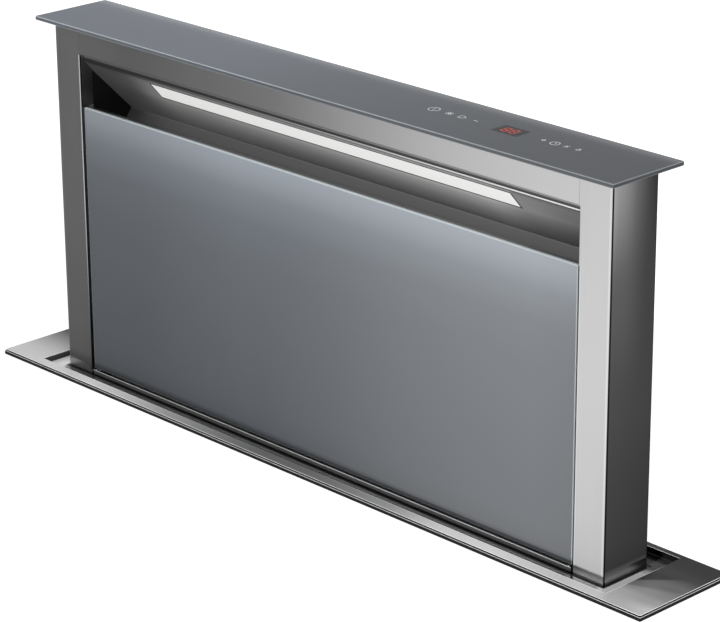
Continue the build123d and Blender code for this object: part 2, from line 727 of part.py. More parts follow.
def cap_tray():
    """Steel channel under the glass, with windows for the display and the touch keys."""
    half = STILE_IN - SEAM
    tray = block(-half, half, TRAY_FRONT, BACK_SHEET_Y, CAP_UNDER - SHEET, CAP_UNDER)
    for y in (TRAY_FRONT, BACK_SHEET_Y - SHEET):
        tray += block(-half, half, y, y + SHEET, CAP_UNDER - TRAY_SKIRT, CAP_UNDER)
    half_l = DISPLAY_LENGTH / 2 + WINDOW_CLEARANCE
    half_d = DISPLAY_DEPTH / 2 + WINDOW_CLEARANCE
    tray -= block(DISPLAY_X - half_l, DISPLAY_X + half_l, BOARD_Y - half_d, BOARD_Y + half_d,
                  CAP_UNDER - SHEET - 1, CAP_UNDER + 1)
    for x in KEY_X:
        tray -= rod_z(CAP_UNDER - SHEET - 1, CAP_UNDER + 1, x, BOARD_Y, KEY_SIZE / 2 + WINDOW_CLEARANCE)
    return tray


def touch_board():
    """Circuit board with the display block and a sensor stud under each key."""
    low = CAP_UNDER - SHEET - BOARD_T
    board = block(BOARD_X - BOARD_LENGTH / 2, BOARD_X + BOARD_LENGTH / 2,
                  BOARD_Y - BOARD_DEPTH / 2, BOARD_Y + BOARD_DEPTH / 2, low, low + BOARD_T)
    board += block(DISPLAY_X - DISPLAY_LENGTH / 2, DISPLAY_X + DISPLAY_LENGTH / 2,
                   BOARD_Y - DISPLAY_DEPTH / 2, BOARD_Y + DISPLAY_DEPTH / 2, low, CAP_UNDER)
    for x in KEY_X:
        board += rod_z(low, CAP_UNDER, x, BOARD_Y, KEY_SIZE / 2)
    return board


def slot_ends():
    """Black mouldings that close the ends of the slot and slant in towards the back."""
    y0 = TOWER_FRONT + STILE_RETURN
    outline = [(STILE_IN, y0), (STILE_IN + END_LAP, y0), (STILE_IN + END_LAP, BACK_SHEET_Y),
               (STILE_IN - END_INSET, BACK_SHEET_Y)]
    return pair(prism_z(outline, GLASS_TOP - END_BELOW, CAP_UNDER - TRAY_SKIRT))


def baffle_outline():
    line = [(LIP_Y, LIP_Z + BAFFLE_UPSTAND), (LIP_Y, LIP_Z), (BEND_Y, BEND_Z), baffle_tail()]
    return sheet_outline(line, SHEET)


def lamp_plane():
    """Plane of the baffle's slope: X along the vent, Y up the slope, Z out of its face."""
    angle = math.radians(BAFFLE_ANGLE)
    normal = (0, -math.sin(angle), -math.cos(angle))
    return Plane(origin=(0, LIP_Y, LIP_Z), x_dir=(1, 0, 0), z_dir=normal)


def on_slope(half_l, start, end, low, high):
    """A box on the baffle's slope, from start to end down the slope, low to high off its face."""
    middle = Pos(LAMP_X, -(start + end) / 2, (low + high) / 2)
    solid = middle * Box(2 * half_l, end - start, high - low)
    return lamp_plane() * solid


def air_baffle():
    """Brushed sheet behind the slot, folded back down and trimmed to the slot's slanted ends."""
    baffle = prism_x(baffle_outline(), -STILE_IN, STILE_IN)
    y0 = TOWER_FRONT + STILE_RETURN
    for _, side in SIDES:
        outline = [(STILE_IN - END_CLEARANCE, TOWER_FRONT), (STILE_IN - END_CLEARANCE, y0),
                   (STILE_IN - END_INSET - END_CLEARANCE, BACK_SHEET_Y),
                   (STILE_IN + LAP, BACK_SHEET_Y), (STILE_IN + LAP, TOWER_FRONT)]
        baffle -= sided(prism_z(outline, SHELF_Z, CAP_UNDER), side)
    window = on_slope(LAMP_LENGTH / 2, LAMP_START, LAMP_START + LAMP_WIDTH, -LAMP_BODY, 1)
    return baffle - window


def led_housing():
    """Aluminium lamp body set through the baffle, with a thin rim on its face."""
    end = LAMP_START + LAMP_WIDTH
    body = on_slope(LAMP_LENGTH / 2, LAMP_START, end, -LAMP_BODY, 0)
    body += on_slope(LAMP_LENGTH / 2 + LAMP_FRAME, LAMP_START - LAMP_FRAME, end + LAMP_FRAME,
                     0, LAMP_PROUD)
    return body - on_slope(LAMP_LENGTH / 2 - LAMP_FRAME, LAMP_START + LAMP_FRAME, end - LAMP_FRAME,
                           -LAMP_BODY + LAMP_FLOOR, LAMP_PROUD + 1)


def led_diffuser():
    end = LAMP_START + LAMP_WIDTH
    return on_slope(LAMP_LENGTH / 2 - LAMP_FRAME, LAMP_START + LAMP_FRAME, end - LAMP_FRAME,
                    -LAMP_BODY + LAMP_FLOOR, LAMP_PROUD - DIFFUSER_SUNK)


def tower_base():
    """Frame that ties the foot of the tower together, open in the middle for the air."""
    x = TOWER_HALF - SHEET
    front = TOWER_FRONT + SHEET
    frame = block(-x, x, front, BACK_SHEET_Y, TOWER_LOW, TOWER_LOW + BASE_HEIGHT)
    return frame - block(-x + BASE_WALL, x - BASE_WALL, front + BASE_WALL, BACK_SHEET_Y - BASE_WALL,
                         TOWER_LOW - 1, TOWER_LOW + BASE_HEIGHT + 1)


def hinge_eye_x():
    return GLASS_HALF - EYE_INSET - EYE_T


def apron():
    """Sheet below the glass panel, with the filter shelf and the eyes of the panel hinge."""
    y1 = APRON_Y + APRON_T
    sheet = block(-GLASS_HALF, GLASS_HALF, APRON_Y, y1, TOWER_LOW + BASE_HEIGHT, APRON_TOP)
    sheet = fillet(sheet.faces().sort_by(Axis.Z)[-1].edges().filter_by(Axis.X), APRON_EDGE_R)
    shelf = block(-GLASS_HALF, GLASS_HALF, y1, y1 + SHELF_DEPTH, SHELF_Z - APRON_T, SHELF_Z)
    lip = block(-GLASS_HALF, GLASS_HALF, y1 + SHELF_DEPTH - APRON_T, y1 + SHELF_DEPTH,
                SHELF_Z, SHELF_Z + SHELF_LIP)
    eye_low = SHELF_Z - APRON_T
    x0 = hinge_eye_x()
    eye = block(x0, x0 + EYE_T, y1, y1 + SHELF_DEPTH / 2, eye_low, PIN_Z + PIN_R + EYE_WALL)
    eye -= rod_x(x0 - 1, x0 + EYE_T + 1, PIN_Y, PIN_Z, PIN_R + PIN_CLEARANCE)
    side_tab = block(GLASS_HALF - LAP, STILE_IN, y1, y1 + APRON_T, TOWER_LOW + BASE_HEIGHT, eye_low)
    fittings = [sided(solid, side) for solid in (eye, side_tab) for _, side in SIDES]
    return sheet + shelf + lip + fittings


def panel_catches():
    """Magnets in holders on the stiles that hold the closed panel by its frame."""
    y0 = GLASS_BACK + FRAME_T + FRAME_FLANGE + CATCH_GAP
    z1 = GLASS_TOP - CATCH_DROP
    holder = block(STILE_IN - CATCH_WIDTH, STILE_IN, y0, TOWER_FRONT + STILE_RETURN,
                   z1 - CATCH_HEIGHT, z1)
    return pair(holder)


def glass_panel():
    panel = block(-GLASS_HALF, GLASS_HALF, GLASS_FRONT, GLASS_BACK, GLASS_LOW, GLASS_TOP)
    return chamfer(panel.faces().sort_by(Axis.Y)[0].edges(), GLASS_BEVEL)


def panel_frame():
    """Steel frame bonded behind the glass, with the two hinge ears and pins at its foot."""
    y0 = GLASS_BACK
    y1 = y0 + FRAME_T
    low = GLASS_LOW + FRAME_INSET
    top = GLASS_TOP - FRAME_INSET
    frame = block(-FRAME_HALF, FRAME_HALF, y0, y1, low, top)
    frame += block(-FRAME_HALF, FRAME_HALF, y1, y1 + FRAME_FLANGE, top - FRAME_T, top)
    flange = block(FRAME_HALF - FRAME_T, FRAME_HALF, y1, y1 + FRAME_FLANGE, low + FRAME_FOOT, top)
    ear_x1 = hinge_eye_x() - EAR_GAP
    ear_x0 = ear_x1 - EAR_T
    ear = block(ear_x0, ear_x1, PIN_Y, y1 + EAR_BEHIND, PIN_Z - PIN_R, PIN_Z + EAR_STEP)
    ear += block(ear_x0, ear_x1, y0, y1 + EAR_BEHIND, PIN_Z + EAR_STEP, low + EAR_TOP)
    pin = rod_x(ear_x0, hinge_eye_x() + EYE_T + PIN_TIP, PIN_Y, PIN_Z, PIN_R)
    for _, side in SIDES:
        frame += sided(flange + ear + pin, side)
    return frame


def grease_filter(index):
    """Framed grease filter that leans between the shelf and the baffle."""
    length, lean, y_place, z_place = filter_place()
    span = 2 * (FRAME_HALF - FILTER_SIDE_GAP)
    width = (span - FILTER_GAP * (FILTER_COUNT - 1)) / FILTER_COUNT
    body = Box(width, FILTER_T, length)
    hollow = Box(width - 2 * FILTER_RIM, FILTER_T - 2 * FILTER_SHEET, length - 2 * FILTER_RIM)
    body -= hollow
    cell_w = (width - 2 * FILTER_RIM - FILTER_BAR * (FILTER_COLUMNS - 1)) / FILTER_COLUMNS
    cell_h = (length - 2 * FILTER_RIM - FILTER_BAR * (FILTER_ROWS - 1)) / FILTER_ROWS
    cells = []
    for i in range(FILTER_COLUMNS):
        x = -width / 2 + FILTER_RIM + cell_w / 2 + i * (cell_w + FILTER_BAR)
        for j in range(FILTER_ROWS):
            z = -length / 2 + FILTER_RIM + cell_h / 2 + j * (cell_h + FILTER_BAR)
            cells.append(Pos(x, 0, z) * Box(cell_w, FILTER_T + 2, cell_h))
    body -= cells
    z_handle = length / 2 - FILTER_RIM / 2
    y_handle = -FILTER_T / 2 - HANDLE_REACH
    body += Pos(0, y_handle, z_handle) * Rot(0, 90, 0) * Cylinder(HANDLE_R, HANDLE_WIDTH)
    for x in (-HANDLE_WIDTH / 2 + HANDLE_R, HANDLE_WIDTH / 2 - HANDLE_R):
        leg = Cylinder(HANDLE_R, HANDLE_REACH + HANDLE_ROOT)
        y_leg = -FILTER_T / 2 - (HANDLE_REACH - HANDLE_ROOT) / 2
        body += Pos(x, y_leg, z_handle) * Rot(90, 0, 0) * leg
    x_place = -span / 2 + width / 2 + index * (width + FILTER_GAP)
    return Pos(x_place, y_place, z_place) * Rot(-lean, 0, 0) * body


# ================================================================ blower
def blower_box():
    """Five-sided box on the casing's front sheet, with the duct outlet in its left wall."""
    back = -CASING_HALF_D
    front = back - BOX_DEPTH
    box = block(-BOX_HALF_L, BOX_HALF_L, front, back, CASING_BOTTOM, BOX_TOP)
    box -= block(-BOX_HALF_L + BOX_T, BOX_HALF_L - BOX_T, front - 1, back - BOX_T,
                 CASING_BOTTOM + BOX_T, BOX_TOP - BOX_T)
    box -= rod_y(back - BOX_T - 1, back + 1, 0, BLOWER_Z, INLET_R)
    return box - rod_x(-BOX_HALF_L - 1, -BOX_HALF_L + BOX_T + 1, volute_mid_y(), outlet_z(),
                       COLLAR_R - COLLAR_T)


def blower_lid():
    """Front lid of the blower box, with a rim that fits inside the box's walls."""
    front = -CASING_HALF_D - BOX_DEPTH
    lid = block(-BOX_HALF_L, BOX_HALF_L, front - BOX_T, front, CASING_BOTTOM, BOX_TOP)
    outer = BOX_T + LID_PLAY
    inner = outer + BOX_T
    rim = block(-BOX_HALF_L + outer, BOX_HALF_L - outer, front, front + LID_RIM,
                CASING_BOTTOM + outer, BOX_TOP - outer)
    rim -= block(-BOX_HALF_L + inner, BOX_HALF_L - inner, front - 1, front + LID_RIM + 1,
                 CASING_BOTTOM + inner, BOX_TOP - inner)
    return lid + rim


def volute_back():
    return -CASING_HALF_D - VOLUTE_SETBACK


def volute_mid_y():
    return volute_back() - VOLUTE_DEPTH / 2


def tongue_height():
    return VOLUTE_R0 * math.sin(math.radians(VOLUTE_START))


def outlet_z():
    return BLOWER_Z + (tongue_height() + VOLUTE_R1) / 2


def volute_space(extra, y0, y1):
    """The spiral space of the volute and its outlet, grown outwards by extra."""
    points = []
    for i in range(VOLUTE_STEPS + 1):
        turn = i / VOLUTE_STEPS
        angle = math.radians(VOLUTE_START + (VOLUTE_END - VOLUTE_START) * turn)
        radius = VOLUTE_R0 + (VOLUTE_R1 - VOLUTE_R0) * turn + extra
        points.append((radius * math.cos(angle), BLOWER_Z + radius * math.sin(angle)))
    outline = Spline(*points) + Line(points[-1], points[0])
    spiral = extrude(Plane.XZ.offset(-y0) * make_face(outline), -(y1 - y0))
    outlet = block(-BOX_HALF_L + BOX_T, 0, y0, y1, BLOWER_Z + tongue_height() - extra,
                   BLOWER_Z + VOLUTE_R1 + extra)
    return spiral + outlet


def blower_scroll():
    """Spiral housing round the wheel, open to the inlet and the duct, on three posts."""
    y1 = volute_back()
    y0 = y1 - VOLUTE_DEPTH
    shell = volute_space(VOLUTE_T, y0 - VOLUTE_T, y1 + VOLUTE_T) - volute_space(0, y0, y1)
    shell -= rod_y(y1 - 1, y1 + VOLUTE_T + 1, 0, BLOWER_Z, INLET_R + INLET_T + INLET_PLAY)
    shell -= rod_y(y0 - VOLUTE_T - 1, y0 + 1, 0, BLOWER_Z, MOTOR_SHAFT_R + MOTOR_BOSS)
    post_places = ((-BOX_HALF_L + POST_INSET, tongue_height() + POST_R * 2), (VOLUTE_R0 + POST_R, 0),
                   (0, -VOLUTE_R0 - POST_R))
    for x, z in post_places:
        shell += rod_y(y1, -CASING_HALF_D - BOX_T, x, BLOWER_Z + z, POST_R)
    return shell


def inlet_ring():
    """Bell-mouthed inlet between the casing and the blower wheel."""
    y_face = -CASING_HALF_D - BOX_T
    ring = rod_y(y_face - INLET_REACH, y_face, 0, BLOWER_Z, INLET_R + INLET_T)
    ring += rod_y(y_face - INLET_T, y_face, 0, BLOWER_Z, INLET_R + INLET_FLANGE)
    return ring - rod_y(y_face - INLET_REACH - 1, y_face + 1, 0, BLOWER_Z, INLET_R)


def wheel_front():
    return volute_back() - VOLUTE_DEPTH + WHEEL_GAP


def impeller():
    """Blower wheel: back plate, curved blades, shroud ring and hub."""
    y0 = wheel_front()
    y1 = -CASING_HALF_D - BOX_T - INLET_REACH - WHEEL_INLET_GAP
    inner = WHEEL_R - WHEEL_BLADE
    plate = rod_y(y0, y0 + WHEEL_PLATE_T, 0, BLOWER_Z, WHEEL_R)
    ring = rod_y(y1 - WHEEL_PLATE_T, y1, 0, BLOWER_Z, WHEEL_R)
    ring -= rod_y(y1 - WHEEL_PLATE_T - 1, y1 + 1, 0, BLOWER_Z, inner)
    hub = rod_y(y0, y0 + HUB_LENGTH, 0, BLOWER_Z, HUB_R)
    blade = Box(WHEEL_BLADE, y1 - y0 - WHEEL_PLATE_T, WHEEL_BLADE_T)
    blade = Pos(WHEEL_R - WHEEL_BLADE / 2, 0, 0) * Rot(0, WHEEL_BLADE_LEAN, 0) * blade
    blades = []
    for i in range(WHEEL_BLADES):
        turn = Rot(0, 360 * i / WHEEL_BLADES, 0)
        blades.append(Pos(0, (y0 + y1) / 2, BLOWER_Z) * turn * blade)
    bore = rod_y(y0 - 1, y0 + HUB_LENGTH + 1, 0, BLOWER_Z, MOTOR_SHAFT_R + RUNNING)
    return plate.fuse(ring, hub, *blades) - bore


def blower_motor():
    """Motor with its mounting flange and the shaft that carries the wheel."""
    face = volute_back() - VOLUTE_DEPTH - VOLUTE_T
    flange = rod_y(face - MOTOR_FLANGE, face, 0, BLOWER_Z, MOTOR_R + MOTOR_FLANGE_WIDTH)
    body = rod_y(face - MOTOR_FLANGE - MOTOR_LENGTH, face - MOTOR_FLANGE, 0, BLOWER_Z, MOTOR_R)
    body = fillet(body.faces().sort_by(Axis.Y)[0].edges(), MOTOR_EDGE_R)
    tip = wheel_front() + HUB_LENGTH + MOTOR_SHAFT_PAST
    return flange + body + rod_y(face, tip, 0, BLOWER_Z, MOTOR_SHAFT_R)


# ================================================================ duct collar and damper
def flap_x():
    return -BOX_HALF_L - FLAP_BACK


def duct_collar():
    """Round duct spigot on the blower box, with the two pins of the damper flaps."""
    y = volute_mid_y()
    z = outlet_z()
    face = -BOX_HALF_L
    collar = rod_x(face - COLLAR_LENGTH, face, y, z, COLLAR_R)
    collar += rod_x(face - COLLAR_T, face, y, z, COLLAR_R + COLLAR_FLANGE)
    collar -= rod_x(face - COLLAR_LENGTH - 1, face + 1, y, z, COLLAR_R - COLLAR_T)
    reach = math.sqrt((COLLAR_R - COLLAR_T / 2) ** 2 - FLAP_AXIS_GAP ** 2)
    for side in (-1, 1):
        collar += rod_z(z - reach, z + reach, flap_x(), y + side * FLAP_AXIS_GAP, FLAP_PIN_R)
    return collar


def damper_flap(side):
    """Half-round non-return flap on its own pin; side -1 is the front half."""
    y = volute_mid_y()
    z = outlet_z()
    x = flap_x()
    axis_y = y + side * FLAP_AXIS_GAP
    radius = COLLAR_R - COLLAR_T - FLAP_CLEARANCE
    sleeve_r = FLAP_PIN_R + RUNNING + FLAP_SLEEVE
    disc = rod_x(x - FLAP_T / 2, x + FLAP_T / 2, y, z, radius)
    disc = disc & block(x - FLAP_T, x + FLAP_T, axis_y, y + side * 2 * radius,
                        z - 2 * radius, z + 2 * radius)
    half_h = math.sqrt(radius ** 2 - (FLAP_AXIS_GAP + sleeve_r) ** 2) - FLAP_END_GAP
    flap = disc + rod_z(z - half_h, z + half_h, x, axis_y, sleeve_r)
    return flap - rod_z(z - 2 * radius, z + 2 * radius, x, axis_y, FLAP_PIN_R + RUNNING)


# ================================================================ electrics
def control_box():
    back = -CASING_HALF_D
    front = back - CONTROL_DEPTH
    low = CONTROL_TOP - CONTROL_HEIGHT
    box = block(CONTROL_X, CONTROL_X + CONTROL_LENGTH, front, back, low, CONTROL_TOP)
    box -= block(CONTROL_X + CONTROL_WALL, CONTROL_X + CONTROL_LENGTH - CONTROL_WALL, front - 1,
                 back - CONTROL_WALL, low + CONTROL_WALL, CONTROL_TOP - CONTROL_WALL)
    x = CONTROL_X + CONTROL_LENGTH / 2
    y = (front + back) / 2
    return box - rod_z(low - 1, low + CONTROL_WALL + 1, x, y, GLAND_R)


def control_lid():
    front = -CASING_HALF_D - CONTROL_DEPTH
    low = CONTROL_TOP - CONTROL_HEIGHT
    lid = block(CONTROL_X, CONTROL_X + CONTROL_LENGTH, front - CONTROL_WALL, front, low, CONTROL_TOP)
    return fillet(lid.faces().sort_by(Axis.Y)[0].edges(), CONTROL_EDGE_R)


def cable_gland():
    """Mains inlet gland in the underside of the control box."""
    x = CONTROL_X + CONTROL_LENGTH / 2
    y = -CASING_HALF_D - CONTROL_DEPTH / 2
    low = CONTROL_TOP - CONTROL_HEIGHT
    top = low + GLAND_INSIDE
    gland = rod_z(top - GLAND_LENGTH, top, x, y, GLAND_R)
    hexagon = Plane.XY.offset(low - GLAND_NUT_T) * Pos(x, y) * RegularPolygon(GLAND_NUT_R, 6)
    gland += extrude(hexagon, GLAND_NUT_T)
    return gland - rod_z(top - GLAND_LENGTH - 1, top + 1, x, y, GLAND_BORE_R)


# ================================================================ all pieces
def build():
    """Every piece of the vent under its own name."""
    parts = {
        "trim_frame": trim_frame(),
        "trim_base": trim_base(),
        "worktop_gasket": worktop_gasket(),
        "recess_tray": recess_tray(),
        "slot_seal": slot_seal(),
        "casing_front": casing_front(),
        "casing_back": casing_back(),
        "casing_floor": casing_floor(),
        "casing_screws": casing_screws(),
        "fixing_brackets": fixing_brackets(),
        "idler_brackets": idler_brackets(),
        "guide_channels": guide_channels(),
        "lift_belts": lift_belts(),
        "drive_shaft": drive_shaft(),
        "shaft_bearings": shaft_bearings(),
        "belt_clamps": belt_clamps(),
        "lift_motor": lift_motor(),
        "motor_bracket": motor_bracket(),
        "top_rail": top_rail(),
        "tower_back": tower_back(),
        "cap_glass": cap_glass(),
        "cap_tray": cap_tray(),
        "touch_board": touch_board(),
        "slot_ends": slot_ends(),
        "air_baffle": air_baffle(),
        "led_housing": led_housing(),
        "led_diffuser": led_diffuser(),
        "tower_base": tower_base(),
        "apron": apron(),
        "panel_catches": panel_catches(),
        "glass_panel": glass_panel(),
        "panel_frame": panel_frame(),
        "blower_box": blower_box(),
        "blower_lid": blower_lid(),
        "blower_scroll": blower_scroll(),
        "inlet_ring": inlet_ring(),
        "impeller": impeller(),
        "blower_motor": blower_motor(),
        "duct_collar": duct_collar(),
        "damper_flap_front": damper_flap(-1),
        "damper_flap_back": damper_flap(1),
        "control_box": control_box(),
        "control_lid": control_lid(),
        "cable_gland": cable_gland(),
    }
    for index, (name, side) in enumerate(SIDES):
        parts[f"casing_end_{name}"] = sided(casing_end(), side)
        parts[f"carriage_{name}"] = sided(carriage(), side)
        parts[f"drive_pulley_{name}"] = sided(pulley(DRIVE_Z, SHAFT_R), side)
        parts[f"idler_pulley_{name}"] = sided(pulley(IDLER_Z, IDLER_AXLE_R + RUNNING), side)
        parts[f"stile_{name}"] = sided(stile(), side)
        parts[f"grease_filter_{name}"] = grease_filter(index)
        for place, z in zip(("upper", "lower"), roller_heights()):
            parts[f"roller_{name}_{place}"] = sided(roller(z), side)
    return parts


def main():
    os.makedirs("parts", exist_ok=True)
    for name, shape in build().items():
        export_step(shape, f"parts/{name}.step")


if __name__ == "__main__":
    main()
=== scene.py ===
"""Looks of a downdraft vent that stands raised out of a worktop.

Sizes are millimetres in the vent's own frame, and a piece becomes metres when it is made: +Z is
up, the cook stands on the -Y side, and the worktop's top face is z = 0. Sizes of the set, its
lamps and the camera are metres.
"""
import math

import bpy
import numpy as np
from mathutils import Matrix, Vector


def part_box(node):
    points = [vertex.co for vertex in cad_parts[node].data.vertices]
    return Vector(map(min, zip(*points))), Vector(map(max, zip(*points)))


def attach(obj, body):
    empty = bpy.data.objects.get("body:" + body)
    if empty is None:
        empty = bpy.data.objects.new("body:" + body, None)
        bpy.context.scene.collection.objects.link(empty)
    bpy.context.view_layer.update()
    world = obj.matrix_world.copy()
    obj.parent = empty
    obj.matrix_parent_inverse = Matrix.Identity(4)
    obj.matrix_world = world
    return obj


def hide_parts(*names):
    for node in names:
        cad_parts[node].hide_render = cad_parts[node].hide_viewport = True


MM = 0.001
SMOOTH_ANGLE = math.radians(35)

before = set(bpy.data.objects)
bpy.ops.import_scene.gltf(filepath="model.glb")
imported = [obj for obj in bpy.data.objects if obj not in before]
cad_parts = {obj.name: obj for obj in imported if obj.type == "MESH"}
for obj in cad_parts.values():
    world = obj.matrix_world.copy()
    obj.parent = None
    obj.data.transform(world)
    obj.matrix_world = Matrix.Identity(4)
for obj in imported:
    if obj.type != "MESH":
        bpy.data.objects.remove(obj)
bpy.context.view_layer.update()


def node_box(node):
    """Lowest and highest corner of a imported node, in millimetres."""
    low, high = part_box(node)
    return np.array(low) / MM, np.array(high) / MM


TRIM_TOP = node_box("trim_frame")[1][2]
RING_TOP = node_box("trim_base")[1][2]
RECESS_TOP = node_box("recess_tray")[1][2]
APRON_TOP = node_box("apron")[1][2]
GLASS_LOW = node_box("glass_panel")[0][2]
GLASS_TOP = node_box("glass_panel")[1][2]
RAIL_LOW = node_box("top_rail")[0][2]
POST_IN, TOWER_FRONT = node_box("stile_right")[0][:2]
POST_OUT, TOWER_BACK = node_box("stile_right")[1][:2]
RECESS_IN_X, RECESS_IN_Y = node_box("recess_tray")[1][:2] - 1
CAP_BACK, CAP_TOP = node_box("cap_glass")[1][1:]
SLOT_GAP = 3
SLOT_X, SLOT_FRONT, SLOT_BACK = POST_OUT + SLOT_GAP, TOWER_FRONT - SLOT_GAP, TOWER_BACK + SLOT_GAP
LIP_DROP = 6.8
LIP_Z = RAIL_LOW - LIP_DROP


# ====================================================================== finishes
class Level:
    """A number or colour that varies over a surface; operators join it to others."""

    def __init__(self, paint, socket):
        self.paint = paint
        self.socket = socket

    def above(self, edge, width):
        """0 below the edge, 1 above it, eased over the width."""
        return self.paint.node("ShaderNodeMapRange", {"interpolation_type": "SMOOTHSTEP"},
                {0: self, 1: edge, 2: edge + width, 3: 0, 4: 1})


def joined(operation, exchanged):
    """Operator that joins two levels, or a level and a number, with its sides exchanged or not."""
    def join(first, second):
        sides = (second, first) if exchanged else (first, second)
        return first.paint.math(operation, *sides)
    return join


for sign, operation in (("add", "ADD"), ("sub", "SUBTRACT"), ("mul", "MULTIPLY"), ("truediv", "DIVIDE"),
        ("pow", "POWER")):
    setattr(Level, f"__{sign}__", joined(operation, False))
    setattr(Level, f"__r{sign}__", joined(operation, True))


class Paint:
    """One procedural material, or the world, and the nodes that it is made of."""

    def __init__(self, name, home=bpy.data.materials):
        self.material = home.new(name)
        self.material.use_nodes = True
        self.tree = self.material.node_tree
        self.tree.nodes.clear()

    def node(self, kind, settings=None, inputs=None, out=0):
        """Add a node, set its settings first and then its inputs, and give one output."""
        made = self.tree.nodes.new(kind)
        for key, value in (settings or {}).items():
            if key == "stops":
                ramp = made.color_ramp
                for place, colour in value[2:]:
                    ramp.elements.new(place)
                for stop, (place, colour) in zip(ramp.elements, value):
                    stop.position = place
                    stop.color = (*colour, 1)
            else:
                setattr(made, key, value)
        for key, value in (inputs or {}).items():
            socket = made.inputs[key]
            if isinstance(value, Level):
                self.tree.links.new(value.socket, socket)
            elif socket.type == "RGBA" and len(value) == 3:
                socket.default_value = (*value, 1)
            else:
                socket.default_value = value
        return Level(self, made.outputs[out]) if len(made.outputs) else None

    def math(self, operation, first, second=0.5):
        return self.node("ShaderNodeMath", {"operation": operation}, {0: first, 1: second})

    def light_path(self, kind):
        """1 for rays of one kind, 0 for others."""
        return self.node("ShaderNodeLightPath", out=f"Is {kind} Ray")

    def seen_directly(self):
        """1 where the camera looks straight at the surface, or through glass."""
        return self.math("MAXIMUM", self.light_path("Camera"), self.light_path("Transmission"))

    def place(self, scale=(1, 1, 1)):
        """Object coordinates, in metres, scaled."""
        coords = self.node("ShaderNodeTexCoord", out="Object")
        return self.node("ShaderNodeMapping", {}, {"Vector": coords, "Scale": scale})

    def axis(self, name, origin=0):
        """One object coordinate, in millimetres from an origin."""
        coords = self.node("ShaderNodeTexCoord", out="Object")
        return self.node("ShaderNodeSeparateXYZ", {}, {0: coords}, out=name) / MM - origin

    def noise(self, scale, detail=2):
        """Noise between about 0.3 and 0.7, at one scale or at a scale per axis."""
        scale = scale if isinstance(scale, tuple) else (scale,) * 3
        return self.node("ShaderNodeTexNoise", {}, {"Vector": self.place(scale), "Scale": 1,
                "Detail": detail, "Roughness": 0.55})

    def mix(self, factor, low, high):
        """A colour between two colours."""
        return self.node("ShaderNodeMix", {"data_type": "RGBA"}, {0: factor, 6: low, 7: high}, out=2)

    def scaled(self, colour, factor):
        """A colour times a number."""
        return self.node("ShaderNodeVectorMath", {"operation": "SCALE"}, {0: colour, "Scale": factor})

    def ramp(self, level, *stops):
        """Number that follows a level through (place, value) stops, whose places are in the level's
        own unit. A colour ramp holds 0 to 1, so values are stored as quarters."""
        start, span = stops[0][0], stops[-1][0] - stops[0][0]
        stops = [((place - start) / span, (value / 4,) * 3) for place, value in stops]
        return self.node("ShaderNodeValToRGB", {"stops": stops}, {0: (level - start) / span}) * 4

    def choose(self, factor, low, high):
        """A number between two numbers."""
        return self.node("ShaderNodeMix", {"data_type": "FLOAT"}, {0: factor, 2: low, 3: high})

    def bump(self, height, depth_mm, strength=1):
        return self.node("ShaderNodeBump", {}, {"Height": height, "Strength": strength,
                "Distance": depth_mm * MM})

    def finish(self, **values):
        """Close the material with the surface shader; names are its sockets' own."""
        inputs = {key.replace("_", " "): value for key, value in values.items()}
        shader = self.node("ShaderNodeBsdfPrincipled", {}, inputs)
        self.node("ShaderNodeOutputMaterial", {}, {"Surface": shader})
        return self.material


def shade(colour, factor):
    return tuple(c * factor for c in colour)


def brushed(name, colour, rough, along, contrast=0.02, grain=1100, depth=0.0015, painted_light=None,
            metallic=1, glow=None):
    """Brushed sheet: long fine streaks along one axis in colour, gloss and height, with a few
    broader bands and faint handling marks. Painted light and shade scale the colour over the
    sheet, and a painted glow is added as emission."""
    paint = Paint(name)
    fine = [grain, grain, grain]
    broad = [40, 40, 40]
    fine["XYZ".index(along)] = 3
    broad["XYZ".index(along)] = 1.2
    streak = paint.noise(tuple(fine), detail=4)
    band = paint.noise(tuple(broad), detail=2)
    smudge = paint.noise(9, detail=3)
    tone = (streak * 0.65 + band * 0.35).above(0.30, 0.40)
    base = paint.mix(tone, shade(colour, 1 - contrast), shade(colour, 1 + contrast))
    if painted_light:
        base = paint.scaled(base, painted_light(paint))
    gloss = rough + (streak - 0.5) * contrast * 2.2 + (smudge - 0.5) * 0.06
    metallic = metallic(paint) if callable(metallic) else metallic
    more = {"Emission_Color": paint.scaled((1, 0.99, 0.98), glow(paint)),
            "Emission_Strength": 1} if glow else {}
    return paint.finish(Base_Color=base, Roughness=gloss, Metallic=metallic,
            Normal=paint.bump(streak, depth), **more)


def size_of(level):
    """How far a coordinate lies from the middle plane."""
    return level.paint.math("ABSOLUTE", level)


